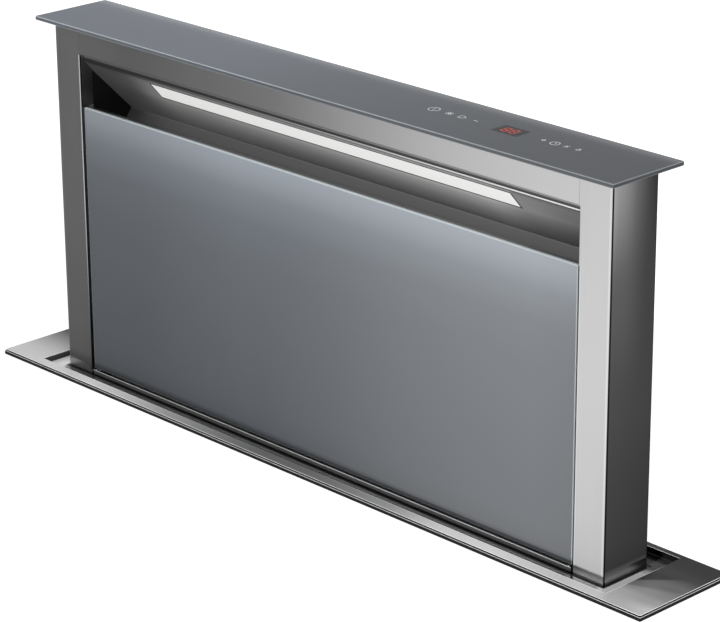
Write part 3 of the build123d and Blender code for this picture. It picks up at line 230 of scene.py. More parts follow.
def post_painted_shading(paint):
    """Posts: painted reflection and shade. The side face is painted darker from its front edge to its
    back edge, most of all near the cap, ends in painted dark lines at its bends and has painted light
    and shade at its foot; the folded-in edge is in painted shade beside the slot."""
    across = size_of(paint.axis("X")) - POST_IN
    deep = paint.axis("Y", TOWER_FRONT)
    up = paint.axis("Z", TRIM_TOP)
    side = deep.above(0.5, 0.4)
    low = paint.ramp(deep, (-0.5, 1), (0.3, 1), (0.6, 0.02), (1.5, 0.02), (2.2, 0.25), (30.5, 0.22),
            (56, 0.19), (56.6, 0.02), (57.75, 0.02), (57.95, 1), (60, 1))
    high = paint.ramp(deep, (-0.5, 1), (0.3, 1), (0.6, 0.02), (1.5, 0.02), (2.2, 1.62), (4.5, 1.33),
            (8.5, 1.16), (15.5, 1.02), (23.5, 0.80), (30.5, 0.55), (37.5, 0.41), (44.5, 0.27),
            (50.5, 0.185), (56.2, 0.12), (56.8, 0.02), (57.75, 0.02), (57.95, 1), (60, 1))
    low = low * (1 + side * up.above(150, 130) * (1 - deep.above(15, 35)) * 0.7)
    tone = paint.choose(up.above(260, 110), low, high)
    foot = paint.ramp(up, (-10, 2.8), (-1, 2.6), (3.5, 1.1), (6.5, 0.50), (28, 0.64), (60, 0.72),
            (100, 0.82), (150, 1))
    right = paint.axis("X").above(0, 1)
    sky = paint.ramp(up, (-10, 1), (0, 0.8), (9, 0.78), (20, 0.83), (55, 0.90), (95, 0.93), (180, 0.99),
            (300, 1))
    shade_side = paint.ramp(up, (-10, 0.5), (6, 0.60), (14, 0.98), (50, 1.12), (160, 1.20), (230, 1.12),
            (290, 1.04))
    tone = tone * paint.choose(side, paint.choose(right, shade_side, sky), foot)
    # Painted highlight along the fronts' outer bend with a painted dark line beyond it; painted shade low on
    # the right post's inner edge, beside a painted light line.
    line = across.above(34, 0.4) * (1 - across.above(35.8, 0.3))
    corner = across.above(36.2, 0.3)
    inner = 1 - across.above(1.6, 0.3)
    rim = across.above(1.7, 0.3) * (1 - across.above(2.9, 0.4))
    low_right = right * (1 - up.above(GLASS_TOP - TRIM_TOP, 1))
    tone = tone * (1 + (1 - side) * (line * 0.22 - corner * 0.9 + low_right * (rim * 0.18 - inner * 0.95)))
    # Painted light on the left post's folded-in edge, and painted shade on both posts' folded-in edges beside
    # the slot.
    folded = (1 - across.above(1, 0.2)) * side
    slot = folded * up.above(GLASS_TOP - TRIM_TOP - 0.5, 1)
    lit = up.above(56, 20) * (1 - up.above(165, 30))
    return tone * (1 + folded * (1 - right) * (0.5 + lit * 0.35)) * (1 - slot * 0.72)


def rail_painted_reflection(paint):
    """Rail: a painted dark reflection left of its middle."""
    return paint.ramp(paint.axis("X"), (-345, 1), (-310, 0.98), (-250, 0.81), (-150, 0.86), (-50, 0.81),
            (50, 0.95), (150, 1.01), (345, 1.02))


def around(paint, half_x, half_y):
    """How far a place lies outside a rectangle about the middle, as the larger of the two ways."""
    return paint.math("MAXIMUM", size_of(paint.axis("X")) - half_x, size_of(paint.axis("Y")) - half_y)


def trim_arris(paint):
    """1 on the rounded outer edge of the trim plate, where a painted highlight goes."""
    up = paint.axis("Z", TRIM_TOP)
    return up.above(-0.30, 0.06) * (1 - up.above(-0.05, 0.04))


def edge_polish(top):
    """The trim's tops are a dull metal; its edge faces below them are a mirror, darkened by painted shade in
    the trim's colour.
    """
    return lambda paint: 1 - paint.axis("Z", top).above(-0.32, 0.06) * 0.6


def trim_painted_shading(paint):
    """Trim plate: painted reflection and shade. It is painted light in front and darker towards the
    back and before the glass, with a painted fan of shade from the right post's foot, a painted bright
    rounded edge and painted dark edge faces."""
    across, deep, up = paint.axis("X"), paint.axis("Y"), paint.axis("Z", TRIM_TOP)
    light = paint.ramp(deep, (-60, 1), (-45, 0.98), (-30, 0.88), (-15, 0.66), (0, 0.43), (20, 0.12),
            (35, 0.07), (60, 0.06))
    bar = paint.ramp(across, (-440, 1), (-240, 1), (-170, 0.78), (-110, 0.50), (-50, 0.32), (20, 0.34),
            (80, 0.48), (150, 0.68), (200, 1), (440, 1))
    turn = paint.math("ARCTAN2", deep - TOWER_FRONT, across - POST_OUT)
    right = across.above(POST_OUT, 0.5)
    near = turn.above(0.72, 0.10) * (1 - deep.above(10, 15))
    fan = 1 - right * (turn.above(0.30, 0.15) * 0.28 + near * 0.36 + deep.above(-34, 12) * 0.22)
    outer = across.above(392, 40) * deep.above(-52, 18) * (1 - deep.above(-8, 14)) * 0.40
    tone = light * bar * fan * (1 - outer) * (0.04 + up.above(-0.32, 0.06) * 0.96)
    return paint.choose(trim_arris(paint), tone, 1)


def trim_painted_glints(paint):
    """Painted glints of the room, as emission: on the front bar to both sides of the glass, along the
    rounded outer edge, and along the front and right edges of the opening."""
    across, deep, up = paint.axis("X"), paint.axis("Y"), paint.axis("Z", TRIM_TOP)
    spans = paint.ramp(across, (-440, 0), (-375, 0.02), (-300, 0.20), (-235, 0.08), (-180, 0), (60, 0),
            (130, 0.04), (190, 0.18), (260, 0.22), (310, 0.13), (370, 0.03), (440, 0))
    front = 1 - deep.above(-50.5, 1)
    hole = around(paint, RECESS_IN_X, RECESS_IN_Y)
    rim = hole.above(-0.1, 0.1) * (1 - hole.above(0.55, 0.2)) * (1 - deep.above(10, 25))
    lit = paint.ramp(across, (-440, 0), (-380, 0.05), (-330, 0.30), (-230, 0.16), (-160, 0.02), (20, 0.04),
            (90, 0.40), (200, 0.50), (440, 0.45))
    arris = trim_arris(paint) * (0.30 + across.above(400, 20) * 0.35)
    return spans * front * up.above(-0.30, 0.10) + rim * lit + arris


def ring_painted_shading(paint):
    """Lower ring of the trim: the outer half of its narrow ledge gets a painted light line over a
    painted dark edge face."""
    up = paint.axis("Z", RING_TOP)
    half_x, front = node_box("trim_base")[1][0], node_box("trim_base")[0][1]
    edge = paint.math("MAXIMUM", size_of(paint.axis("X")) - half_x, front - paint.axis("Y"))
    ledge = up.above(-0.30, 0.06) * edge.above(-0.85, 0.1)
    return 0.02 + (1 - up.above(-0.5, 0.1)) * 0.36 + ledge * 1.95


def recess_painted_shading(paint):
    """Recess: painted shade, near black, on the walls, and a floor painted bright beside the posts, polished
    in front and painted dark at its back right.
    """
    across, deep, up = paint.axis("X"), paint.axis("Y"), paint.axis("Z", RECESS_TOP)
    wall = up.above(-4.9, 0.2) * deep.above(-RECESS_IN_Y + 0.8, 0.4)
    floor = paint.ramp(across, (-400, 1.2), (-374, 1.2), (-364, 0.6), (-334, 0.35), (330, 0.45),
            (337, 0.95), (370, 0.95), (372, 0.9), (400, 0.6))
    back = 1 - across.above(0, 1) * deep.above(10, 16) * 0.95
    return paint.choose(wall, floor * back, 0.03)


def recess_polish(paint):
    """The recess floor mirrors in front of the tower; beside the posts it is a dull grey."""
    return 0.15 + (1 - size_of(paint.axis("X")).above(POST_OUT - 4, 6)) * 0.85


def slope_painted_glow(paint):
    """The lamp's light on the sheet round it, painted as emission: it fades down the slope and past the
    lamp's ends.
    """
    up, along = paint.axis("Z", LIP_Z), paint.axis("X", 5)
    down = paint.ramp(up, (-85, 0), (-55.5, 0.018), (-40.7, 0.10), (-28.7, 0.21), (-22.7, 0.32),
            (-5.7, 0.26), (-1.2, 0.10), (0.3, 0))
    left = 0.12 + along.above(-320, 60) * 0.10 + along.above(-290, 65) * 0.78
    right = 1 - along.above(200, 50) * 0.50 - along.above(240, 70) * 0.25
    corner = (1 - along.above(-230, 230)) * (1 - up.above(-42, 26)) * up.above(-56.5, 2)
    return down * left * right * (0.8 + along * 0.0011) + corner * 0.014


def slope_painted_shading(paint):
    """Sheet behind the slot: a painted bright highlight on the fold at its top edge between two painted
    dark lines, and painted shade on the part folded back below the slope."""
    up, along = paint.axis("Z", LIP_Z), paint.axis("X")
    body = paint.ramp(up, (-85, 0.05), (-67.5, 0.08), (-65.5, 0.36), (-56.7, 0.38), (-54.7, 0.70),
            (-2.2, 0.70), (-1.2, 0.25), (1.5, 0.15), (3.3, 0.25), (4.1, 1))
    fold = up.above(-0.9, 0.4) * (1 - up.above(0.7, 0.6))
    return body + fold * along.above(-320, 600) * 2.6


def apron_painted_shading(paint):
    """Sheet under the glass: its top edge gets a painted highlight, and its face painted shade."""
    return paint.ramp(paint.axis("Z", APRON_TOP), (-20, 0.5), (-4.4, 0.35), (-1.6, 0.35), (-1.1, 2.2),
            (5, 2.2))


def apron_painted_glow(paint):
    """Painted light, as emission, that the recess throws up on the sheet under the glass, down to a dark line
    at its foot.
    """
    return paint.ramp(paint.axis("Z", APRON_TOP), (-20, 0), (-4.5, 0), (-4.1, 0.033), (-3.6, 0.034),
            (-2.7, 0.031), (-2.1, 0.020), (-1.5, 0.012), (-1.1, 0), (5, 0))


def zinc_sheet(name, colour, rough=0.42):
    """Hot-dipped sheet: flat crystals a few millimetres wide, each with its own grey and gloss,
    under a thin cloudy bloom."""
    paint = Paint(name)
    bend = paint.noise(90, detail=2)
    warped = paint.node("ShaderNodeVectorMath", {"operation": "MULTIPLY_ADD"},
            {0: bend, 1: (0.008, 0.008, 0.008), 2: paint.place()})
    grey = 0
    for scale, weight in ((105, 0.6), (240, 0.4)):
        crystal = paint.node("ShaderNodeTexVoronoi", {"feature": "F1"},
                {"Vector": warped, "Scale": scale, "Randomness": 1}, out="Color")
        grey = paint.node("ShaderNodeSeparateColor", {}, {0: crystal}, out=0) * weight + grey
    bloom = paint.noise(7, detail=4)
    base = paint.mix(grey * 0.6 + bloom * 0.4, shade(colour, 0.70), shade(colour, 1.20))
    return paint.finish(Base_Color=base, Roughness=rough + (grey - 0.5) * 0.20 + (bloom - 0.5) * 0.15,
            Metallic=0.35, Normal=paint.bump(grey, 0.02, 0.5))


def printed_glass(name, colour, painted_light, rough, index):
    """Glass printed grey on its back: an even tone with the faintest flake, under a clear coat.
    Painted light scales the colour: the light's slow fall over the pane."""
    paint = Paint(name)
    flake = paint.noise(2600, detail=1)
    cloud = paint.noise(3, detail=1)
    tone = flake * 0.5 + cloud * 0.5
    base = paint.scaled(paint.mix(tone, shade(colour, 0.95), shade(colour, 1.05)), painted_light(paint))
    return paint.finish(Base_Color=base, Roughness=0.5 + (cloud - 0.5) * 0.06, IOR=1.5,
            Specular_IOR_Level=0.1, Coat_Weight=1, Coat_Roughness=rough, Coat_IOR=index)


def cap_painted_reflection(paint):
    """Cap: a painted reflection, lighter to the left."""
    return paint.ramp(paint.axis("X"), (-400, 1.42), (-150, 1.20), (0, 0.86), (150, 0.66), (250, 0.54),
            (400, 0.44))


def cap_rim_painted_reflection(paint):
    """Cap's rim: a painted reflection, light to the left, dark to the right."""
    return paint.ramp(paint.axis("X"), (-400, 2.4), (-150, 2.3), (-50, 1.95), (50, 1.5), (150, 1.12),
            (250, 0.92), (400, 0.88))


def panel_edge_painted_shade(paint):
    """Panel's ground edge: painted shade at its foot."""
    return 0.25 + paint.axis("Z", GLASS_LOW).above(2, 6) * 0.75


def cap_arris_painted_reflection(paint):
    """Cap's rounded edge: a painted reflection, darker to the right."""
    return paint.ramp(paint.axis("X"), (-400, 1.12), (-50, 1), (50, 0.80), (150, 0.78), (250, 0.64),
            (400, 0.58))


def panel_painted_shading(paint):
    """Panel: painted light and shade, lighter to the right and near its top edge, dark along its foot."""
    up, across = paint.axis("Z", GLASS_LOW), paint.axis("X")
    rise = paint.ramp(up, (0, 0.32), (3, 0.37), (8, 0.76), (26, 0.84), (96, 0.93), (175, 1.05), (216, 1.20),
            (246, 1.60), (271, 2.38), (300, 2.8))
    wide = paint.ramp(across, (-335, 1.02), (-250, 1.06), (-190, 1.16), (-100, 1.27), (0, 1.24),
            (100, 1.20), (280, 1.18), (335, 1.04))
    return rise * wide


def ground_edge(name, colour, back=1, painted_light=None):
    """Ground and polished edge of the glass, where the pane's own cold tint shows; painted shade
    makes it darker by a factor where it faces away from the cook, and painted light scales it along
    the edge."""
    paint = Paint(name)
    wheel = paint.noise(900, detail=2)
    away = paint.choose(paint.axis("Y").above(CAP_BACK - 1.2, 0.2), 1, back)
    if painted_light:
        away = away * painted_light(paint)
    base = paint.scaled(paint.mix(wheel, shade(colour, 0.92), shade(colour, 1.06)), away)
    return paint.finish(Base_Color=base, Roughness=0.18 + wheel * 0.12, Normal=paint.bump(wheel, 0.01, 0.5),
            Coat_Weight=0.5, Coat_Roughness=0.1)


def moulded(name, colour, rough=0.45, grain=0.02, size=1400, sheen=0.45):
    """Moulded plastic with a fine spark-eroded grain and slight flow marks."""
    paint = Paint(name)
    pits = paint.noise(size, detail=2)
    flow = paint.noise((14, 14, 30), detail=2)
    base = paint.mix(flow, shade(colour, 0.88), shade(colour, 1.12))
    return paint.finish(Base_Color=base, Roughness=rough + (pits - 0.5) * 0.2,
            Normal=paint.bump(pits, grain, 0.6), Specular_IOR_Level=sheen)


def rubber(name, colour=(0.03, 0.03, 0.03)):
    """Soft black rubber with a dusty bloom and a pebbled skin."""
    paint = Paint(name)
    skin = paint.noise(500, detail=3)
    dust = paint.noise(25, detail=4).above(0.48, 0.25)
    base = paint.mix(dust, colour, shade(colour, 1.9))
    return paint.finish(Base_Color=base, Roughness=0.72 + dust * 0.12, Normal=paint.bump(skin, 0.05, 0.5),
            Specular_IOR_Level=0.35)


def motor_paint(name, colour=(0.045, 0.047, 0.05)):
    """Semi-gloss stove enamel over a cast case: soft orange peel and dust in the paint."""
    paint = Paint(name)
    peel = paint.noise(260, detail=2)
    wear = paint.noise(30, detail=5).above(0.60, 0.10)
    base = paint.mix(wear, colour, (0.16, 0.16, 0.16))
    return paint.finish(Base_Color=base, Roughness=0.34 + wear * 0.2 + (peel - 0.5) * 0.1,
            Normal=paint.bump(peel, 0.06, 0.5), Coat_Weight=0.25, Coat_Roughness=0.2)


def turned_metal(name, colour, rough, deep, up):
    """Lathe-turned metal: fine rings about an axis along X, at a depth and a height."""
    paint = Paint(name)
    deep, up = paint.axis("Y", deep), paint.axis("Z", up)
    radius = (deep * deep + up * up) ** 0.5
    rings = paint.math("SINE", radius * 9)
    mottle = paint.noise(120, detail=3)
    base = paint.mix(mottle, shade(colour, 0.88), shade(colour, 1.10))
    return paint.finish(Base_Color=base, Roughness=rough + rings * 0.05 + (mottle - 0.5) * 0.15, Metallic=1,
            Normal=paint.bump(rings, 0.006, 0.6))


def dull_metal(name, colour, rough=0.35, metallic=1):
    """Plain mill-finish metal: rolling lines too fine to count, and oily patches."""
    paint = Paint(name)
    roll = paint.noise((30, 420, 420), detail=3)
    patch = paint.noise(16, detail=4)
    base = paint.mix(roll * 0.5 + patch * 0.5, shade(colour, 0.86), shade(colour, 1.12))
    return paint.finish(Base_Color=base, Roughness=rough + (patch - 0.5) * 0.24, Metallic=metallic,
            Normal=paint.bump(roll, 0.006))


def woven_mesh(name, colour):
    """Knitted alloy mesh: crossing wires, sin times sin, with painted shade in the gaps between them."""
    paint = Paint(name)
    wires = [paint.math("SINE", (paint.axis("X") + paint.axis("Z") * way) * 2.6)
             for way in (1, -1)]
    weave = wires[0] * wires[1]
    gap = 1 - size_of(weave).above(0.10, 0.25)
    base = paint.mix(gap, colour, shade(colour, 0.12))
    return paint.finish(Base_Color=base, Roughness=0.36 + gap * 0.3, Metallic=0.9,
            Normal=paint.bump(weave, 0.3))


def milky_lens(name):
    """Milky lamp lens, lit from behind: a touch dimmer between its light sources and at its ends."""
    paint = Paint(name)
    along = paint.axis("X")
    sources = paint.math("COSINE", along * 0.785)
    glow = 0.97 + sources * 0.02 + along * 0.00022
    light = paint.scaled((1, 0.995, 0.985), glow)
    return paint.finish(Base_Color=(0.30, 0.30, 0.30), Roughness=0.4, Emission_Color=light,
            Emission_Strength=0.70)


def printed_mark(name, colour, glow=0):
    """Screen print or lit segment: an even colour with a slightly ragged ink film."""
    paint = Paint(name)
    ink = paint.noise(1800, detail=1)
    base = paint.mix(ink, shade(colour, 0.9), colour)
    return paint.finish(Base_Color=base, Roughness=0.35 + ink * 0.1, Emission_Color=base,
            Emission_Strength=glow)


BELT_Y, DRIVE_Z, IDLER_Z = 20, -520, -40

FINISH = {
    "stile": brushed("brushed_stile", (0.60, 0.60, 0.60), 0.30, "Z", painted_light=post_painted_shading),
    "rail": brushed("brushed_rail", (0.60, 0.60, 0.60), 0.30, "X", painted_light=rail_painted_reflection),
    "apron": brushed("brushed_apron", (0.50, 0.50, 0.50), 0.30, "X", 0.04, painted_light=apron_painted_shading, glow=apron_painted_glow),
    "trim": brushed("brushed_trim", (0.88, 0.88, 0.875), 0.32, "X", 0.02, 1100, 0.001, trim_painted_shading,
                    edge_polish(TRIM_TOP), trim_painted_glints),
    "trim_under": brushed("brushed_trim_under", (0.50, 0.50, 0.50), 0.34, "X", 0.03, 1100, 0.001,
                          ring_painted_shading, edge_polish(RING_TOP)),
    "baffle": brushed("brushed_baffle", (0.42, 0.42, 0.42), 0.36, "X", 0.08, 700, 0.002,
                      slope_painted_shading, 0.7, slope_painted_glow),
    "recess": brushed("polished_recess", (0.80, 0.80, 0.80), 0.22, "X", 0.03, 900, 0.001,
                      recess_painted_shading, recess_polish),
    "back": brushed("brushed_back", (0.60, 0.60, 0.59), 0.32, "Z", 0.06, 700, 0.004),
    "inner": brushed("brushed_inner", (0.45, 0.45, 0.46), 0.34, "X", 0.08, 700, 0.004),
    "zinc": zinc_sheet("zinc_sheet", (0.66, 0.675, 0.69)),
    "zinc_dark": zinc_sheet("zinc_sheet_box", (0.58, 0.595, 0.61), 0.46),
    "cap_glass": printed_glass("printed_cap_glass", (0.173, 0.191, 0.219), cap_painted_reflection, 0.03, 1.5),
    "panel_glass": printed_glass("printed_panel_glass", (0.156, 0.171, 0.190), panel_painted_shading, 0.14, 1.7),
    "cap_edge": ground_edge("cap_glass_edge", (0.075, 0.085, 0.098), 1, cap_rim_painted_reflection),
    "cap_bevel": ground_edge("cap_glass_bevel", (0.50, 0.53, 0.56), 0.15, cap_arris_painted_reflection),
    "panel_bevel": ground_edge("panel_glass_bevel", (0.66, 0.73, 0.76), 1, panel_edge_painted_shade),
    "slot_black": moulded("slot_end_moulding", (0.004, 0.004, 0.004), 0.65, 0.02, 1400, 0.12),
    "black": moulded("black_moulding", (0.018, 0.018, 0.019), 0.42),
    "grey_plastic": moulded("grey_housing", (0.48, 0.49, 0.50), 0.5, 0.03, 900),
    "scroll": moulded("scroll_moulding", (0.06, 0.06, 0.065), 0.5, 0.03, 700),
    "wheel": moulded("wheel_moulding", (0.035, 0.035, 0.038), 0.4, 0.02, 900),
    "nylon": moulded("roller_nylon", (0.70, 0.70, 0.67), 0.38, 0.01, 800),
    "board": moulded("board_lacquer", (0.012, 0.014, 0.013), 0.3, 0.01, 1200),
    "rubber": rubber("seal_rubber"),
    "belt": rubber("belt_rubber", (0.022, 0.022, 0.024)),
    "motor": motor_paint("motor_enamel"),
    "screw": dull_metal("screw_zinc", (0.70, 0.71, 0.72), 0.28, 0.5),
    "guide": dull_metal("guide_steel", (0.50, 0.51, 0.52), 0.36),
    "lamp_metal": dull_metal("anodised_lamp", (0.72, 0.73, 0.75), 0.3),
    "filter": dull_metal("filter_alloy", (0.62, 0.63, 0.64), 0.34, 0.75),
    "mesh": woven_mesh("filter_mesh", (0.66, 0.67, 0.68)),
    "flap": dull_metal("flap_alloy", (0.60, 0.61, 0.62), 0.30),
    "lens": milky_lens("milky_lens"),
    "mark": printed_mark("symbol_print", (0.66, 0.67, 0.67), 0.10),
    "window": printed_mark("display_window", (0.010, 0.011, 0.012)),
    "digit": printed_mark("display_digit", (0.55, 0.02, 0.012), 0.75),
    "shaft": dull_metal("ground_shaft", (0.60, 0.61, 0.63), 0.22),
    "pulley_drive": turned_metal("turned_drive_pulley", (0.58, 0.59, 0.61), 0.26, BELT_Y, DRIVE_Z),
    "pulley_idler": turned_metal("turned_idler_pulley", (0.58, 0.59, 0.61), 0.26, BELT_Y, IDLER_Z),
}

FINISHED = {
    "trim": "trim_frame",
    "trim_under": "trim_base",
    "rubber": "worktop_gasket slot_seal",
    "recess": "recess_tray",
    "zinc": "casing_front casing_back casing_floor casing_end_left casing_end_right fixing_brackets",
    "screw": "casing_screws",
    "guide": "guide_channels idler_brackets motor_bracket carriage_left carriage_right",
    "belt": "lift_belts",
    "black": "shaft_bearings cable_gland panel_catches",
    "motor": "lift_motor blower_motor",
    "zinc_dark": "blower_box blower_lid duct_collar",
    "scroll": "blower_scroll inlet_ring",
    "grey_plastic": "control_box control_lid",
    "rail": "top_rail",
    "back": "tower_back",
    "cap_glass": "cap_glass",
    "inner": "cap_tray tower_base panel_frame",
    "board": "touch_board",
    "slot_black": "slot_ends",
    "baffle": "air_baffle",
    "lamp_metal": "led_housing",
    "lens": "led_diffuser",
    "apron": "apron",
    "stile": "stile_left stile_right",
    "filter": "belt_clamps grease_filter_left grease_filter_right",
    "shaft": "drive_shaft",
    "pulley_drive": "drive_pulley_left drive_pulley_right",
    "pulley_idler": "idler_pulley_left idler_pulley_right",
    "nylon": "roller_left_upper roller_left_lower roller_right_upper roller_right_lower",
    "panel_glass": "glass_panel",
    "wheel": "impeller",
    "flap": "damper_flap_front damper_flap_back",
}
for finish, nodes in FINISHED.items():
    for node in nodes.split():
        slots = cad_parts[node].data.materials
        slots.clear()
        slots.append(FINISH[finish])


# ====================================================================== surfaces
def rounded(corners, radius, steps=6, closed=True):
    """Round the corners of a line of points. Each corner P between the directions a (in) and b
    (out) becomes the circular arc ((1-t)^2 A + 2w t(1-t) P + t^2 B) / ((1-t)^2 + 2w t(1-t) + t^2)
    with A = P - c a, B = P + c b, c = r tan(turn / 2) and w = cos(turn / 2)."""
    points = np.asarray(corners, float)
    before = np.roll(points, 1, axis=0)
    after = np.roll(points, -1, axis=0)
    way_in = points - before
    way_out = after - points
    way_in /= np.linalg.norm(way_in, axis=1, keepdims=True)
    way_out /= np.linalg.norm(way_out, axis=1, keepdims=True)
    turn = np.arccos(np.clip((way_in * way_out).sum(1), -1, 1))
    radii = np.broadcast_to(np.asarray(radius, float), turn.shape)
    cut = (radii * np.tan(turn / 2))[:, None]
    weight = np.cos(turn / 2)[:, None, None]
    t = np.linspace(0, 1, steps + 1)[None, :, None]
    start = (points - cut * way_in)[:, None, :]
    end = (points + cut * way_out)[:, None, :]
    mid = 2 * weight * t * (1 - t)
    arcs = ((1 - t) ** 2 * start + mid * points[:, None, :] + t ** 2 * end) / ((1 - t) ** 2 + mid + t ** 2)
    if closed:
        return arcs.reshape(-1, points.shape[1])
    inner = arcs[1:-1].reshape(-1, points.shape[1])
    return np.vstack([points[:1], inner, points[-1:]])


def set_off(line, distance):
    """A line of points moved to its left: each point goes along the mean m of its two sides'
    normals n1 and n2, by distance / (1 + n1 . n2) times n1 + n2."""
    line = np.asarray(line, float)
    ways = np.diff(line, axis=0)
    ways /= np.linalg.norm(ways, axis=1, keepdims=True)
    normals = np.stack([-ways[:, 1], ways[:, 0]], axis=1)
    mean = np.vstack([normals[:1], normals[:-1] + normals[1:], normals[-1:]])
    mean[1:-1] /= 1 + (normals[:-1] * normals[1:]).sum(1, keepdims=True)
    return line + mean * distance


def sheet_section(line, thickness, bend_r, steps=6):
    """Closed outline of a bent sheet about its centre line, which gets rounded bends."""
    centre = rounded(line, bend_r, steps, closed=False)
    return np.vstack([set_off(centre, thickness / 2), set_off(centre, -thickness / 2)[::-1]])


def rectangle(x0, x1, y0, y1, radius):
    """Rounded rectangle, the same number of points whatever its size."""
    return rounded([(x0, y0), (x1, y0), (x1, y1), (x0, y1)], radius, 5)


def rings_of(outlines, heights, axis):
    """Stack flat outlines at heights along an axis, as rings of 3-D points."""
    outlines = np.asarray(outlines, float)
    heights = np.broadcast_to(np.asarray(heights, float)[:, None], outlines.shape[:2])
    order = {"X": [2, 0, 1], "Y": [0, 2, 1], "Z": [0, 1, 2]}[axis]
    stacked = np.stack([outlines[..., 0], outlines[..., 1], heights], axis=2)
    return stacked[..., order]


def slab(low, high, axis, corner_r, edge_r, steps=4):
    """Plate with rounded edges: rounded rectangles at inset r (1 - cos a) and height r sin a along
    the axis, closed at both faces."""
    low = np.asarray(low, float)
    high = np.asarray(high, float)
    deep = "XYZ".index(axis)
    flat = [i for i in range(3) if i != deep]
    angle = np.linspace(0, math.pi / 2, steps + 1)
    inset = edge_r * (1 - np.sin(angle))
    rise = edge_r * (1 - np.cos(angle))
    insets = np.concatenate([inset, inset[::-1]])
    heights = np.concatenate([low[deep] + rise, high[deep] - rise[::-1]])
    outlines = [rectangle(low[flat[0]] + s, high[flat[0]] - s, low[flat[1]] + s, high[flat[1]] - s,
            max(corner_r - s, 0.05)) for s in insets]
    return rings_of(outlines, heights, axis)


def carried(section, path, up):
    """A flat section carried along a path: its first coordinate goes along path x up, its second
    along up."""
    path = np.asarray(path, float)
    way = np.gradient(path, axis=0)
    way /= np.linalg.norm(way, axis=1, keepdims=True)
    up = np.asarray(up, float)
    side = np.cross(way, up)
    side /= np.linalg.norm(side, axis=1, keepdims=True)
    return path[:, None, :] + section[None, :, :1] * side[:, None, :] + section[None, :, 1:2] * up


def circle(radius, sides, centre=(0, 0)):
    """Points on a circle."""
    angle = np.linspace(0, 2 * math.pi, sides, endpoint=False)
    return np.stack([centre[0] + radius * np.cos(angle), centre[1] + radius * np.sin(angle)], axis=1)


class Shape:
    """A mesh in the making: grids of points turned into closed skins, with a finish for each."""

    def __init__(self):
        self.points = []
        self.faces = []
        self.marks = []
        self.count = 0

    def add(self, rings, mark=0, wrap=False, marks=None):
        """Join neighbouring rings with quads. The ends get one face each, or wrap round to each
        other. The skin is turned outwards by the sign of its volume."""
        rings = np.asarray(rings, float)
        rows, columns = rings.shape[:2]
        index = np.arange(rows * columns).reshape(rows, columns)
        upper = np.roll(index, -1, axis=0) if wrap else index[1:]
        lower = index if wrap else index[:-1]
        right = np.roll(lower, -1, axis=1)
        quads = np.stack([lower, right, np.roll(upper, -1, axis=1), upper], axis=2)
        face_marks = np.full(quads.shape[:2], mark)
        if marks is not None:
            face_marks = np.broadcast_to(np.asarray(marks)[:, None], quads.shape[:2])
        quads = quads.reshape(-1, 4)
        faces = quads.tolist()
        face_marks = face_marks.reshape(-1).tolist()
        if not wrap:
            faces += [index[0, ::-1].tolist(), index[-1].tolist()]
            face_marks += [face_marks[0], face_marks[-1]] if marks is not None else [mark, mark]
        points = rings.reshape(-1, 3)
        if self._volume(points, faces) < 0:
            faces = [face[::-1] for face in faces]
        self.faces += [[v + self.count for v in face] for face in faces]
        self.marks += face_marks
        self.points.append(points)
        self.count += len(points)
        return self

    @staticmethod
    def _volume(points, faces):
        """Six times the volume inside the faces, each taken as a fan of triangles."""
        total = 0
        centre = points.mean(0)
        for face in faces:
            corners = points[face] - centre
            total += (np.cross(corners[1:-1], corners[2:]) @ corners[0]).sum()
        return total

    def piece(self, name, finishes, body, slot, replaces=()):
        """Make the object, in metres, and let it ride on its body."""
        mesh = bpy.data.meshes.new(name)
        mesh.from_pydata((np.vstack(self.points) * MM).tolist(), [], self.faces)
        for finish in finishes:
            mesh.materials.append(FINISH[finish])
        mesh.polygons.foreach_set("material_index", self.marks)
        mesh.shade_smooth()
        mesh.set_sharp_from_angle(angle=SMOOTH_ANGLE)
        mesh.validate()
        made = bpy.data.objects.new(name, mesh)
        bpy.context.scene.collection.objects.link(made)
        weighted = made.modifiers.new("flat_faces", "WEIGHTED_NORMAL")
        weighted.keep_sharp = True
        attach(made, body)
        if replaces:
            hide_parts(*replaces)


def along_x(section, x0, x1):
    """A (y, z) section carried straight along X."""
    return rings_of([section, section], [x0, x1], "X")


def along_z(section, z0, z1):
    """An (x, y) section carried straight along Z."""
    return rings_of([section, section], [z0, z1], "Z")


def flipped(points):
    """Mirror image in the vent's middle plane."""
    return np.asarray(points) * np.array([-1, 1, 1])


# ====================================================================== glass
def glass_slab(node, axis, name, finishes, body, slot, corner_r, edge_r):
    """A pane with rounded edges: its faces take the first finish, its rim the second and the
    rounded edges the third."""
    low, high = node_box(node)
    rings = slab(low, high, axis, corner_r, edge_r)
    half = (len(rings) - 2) // 2
    marks = [2] * half + [1] + [2] * half
    shape = Shape().add(rings, marks=marks)
    shape.marks[-2:] = [0, 0]
    shape.piece(name, finishes, body, slot, [node])


glass_slab("cap_glass", "Z", "cap_pane", ("cap_glass", "cap_edge", "cap_bevel"), "tower", "cap_glass",
           1.4, 0.7)
glass_slab("glass_panel", "Y", "front_pane", ("panel_glass", "panel_bevel", "panel_bevel"), "panel",
           "panel_glass", 1.2, 0.8)

SYMBOL_Y = 4.7
PRINT_T = 0.04


def stroke(shape, place, path, width, mark=0):
    """A printed line on the cap: a flat bar carried along a path of (x, y) points about a place."""
    path = np.asarray(path, float) + [place, SYMBOL_Y]
    points = np.column_stack([path, np.full(len(path), CAP_TOP + PRINT_T / 2)])
    half = np.array([width, PRINT_T]) / 2
    section = half * [(-1, -1), (1, -1), (1, 1), (-1, 1)]
    shape.add(carried(section, points, (0, 0, 1)), mark)


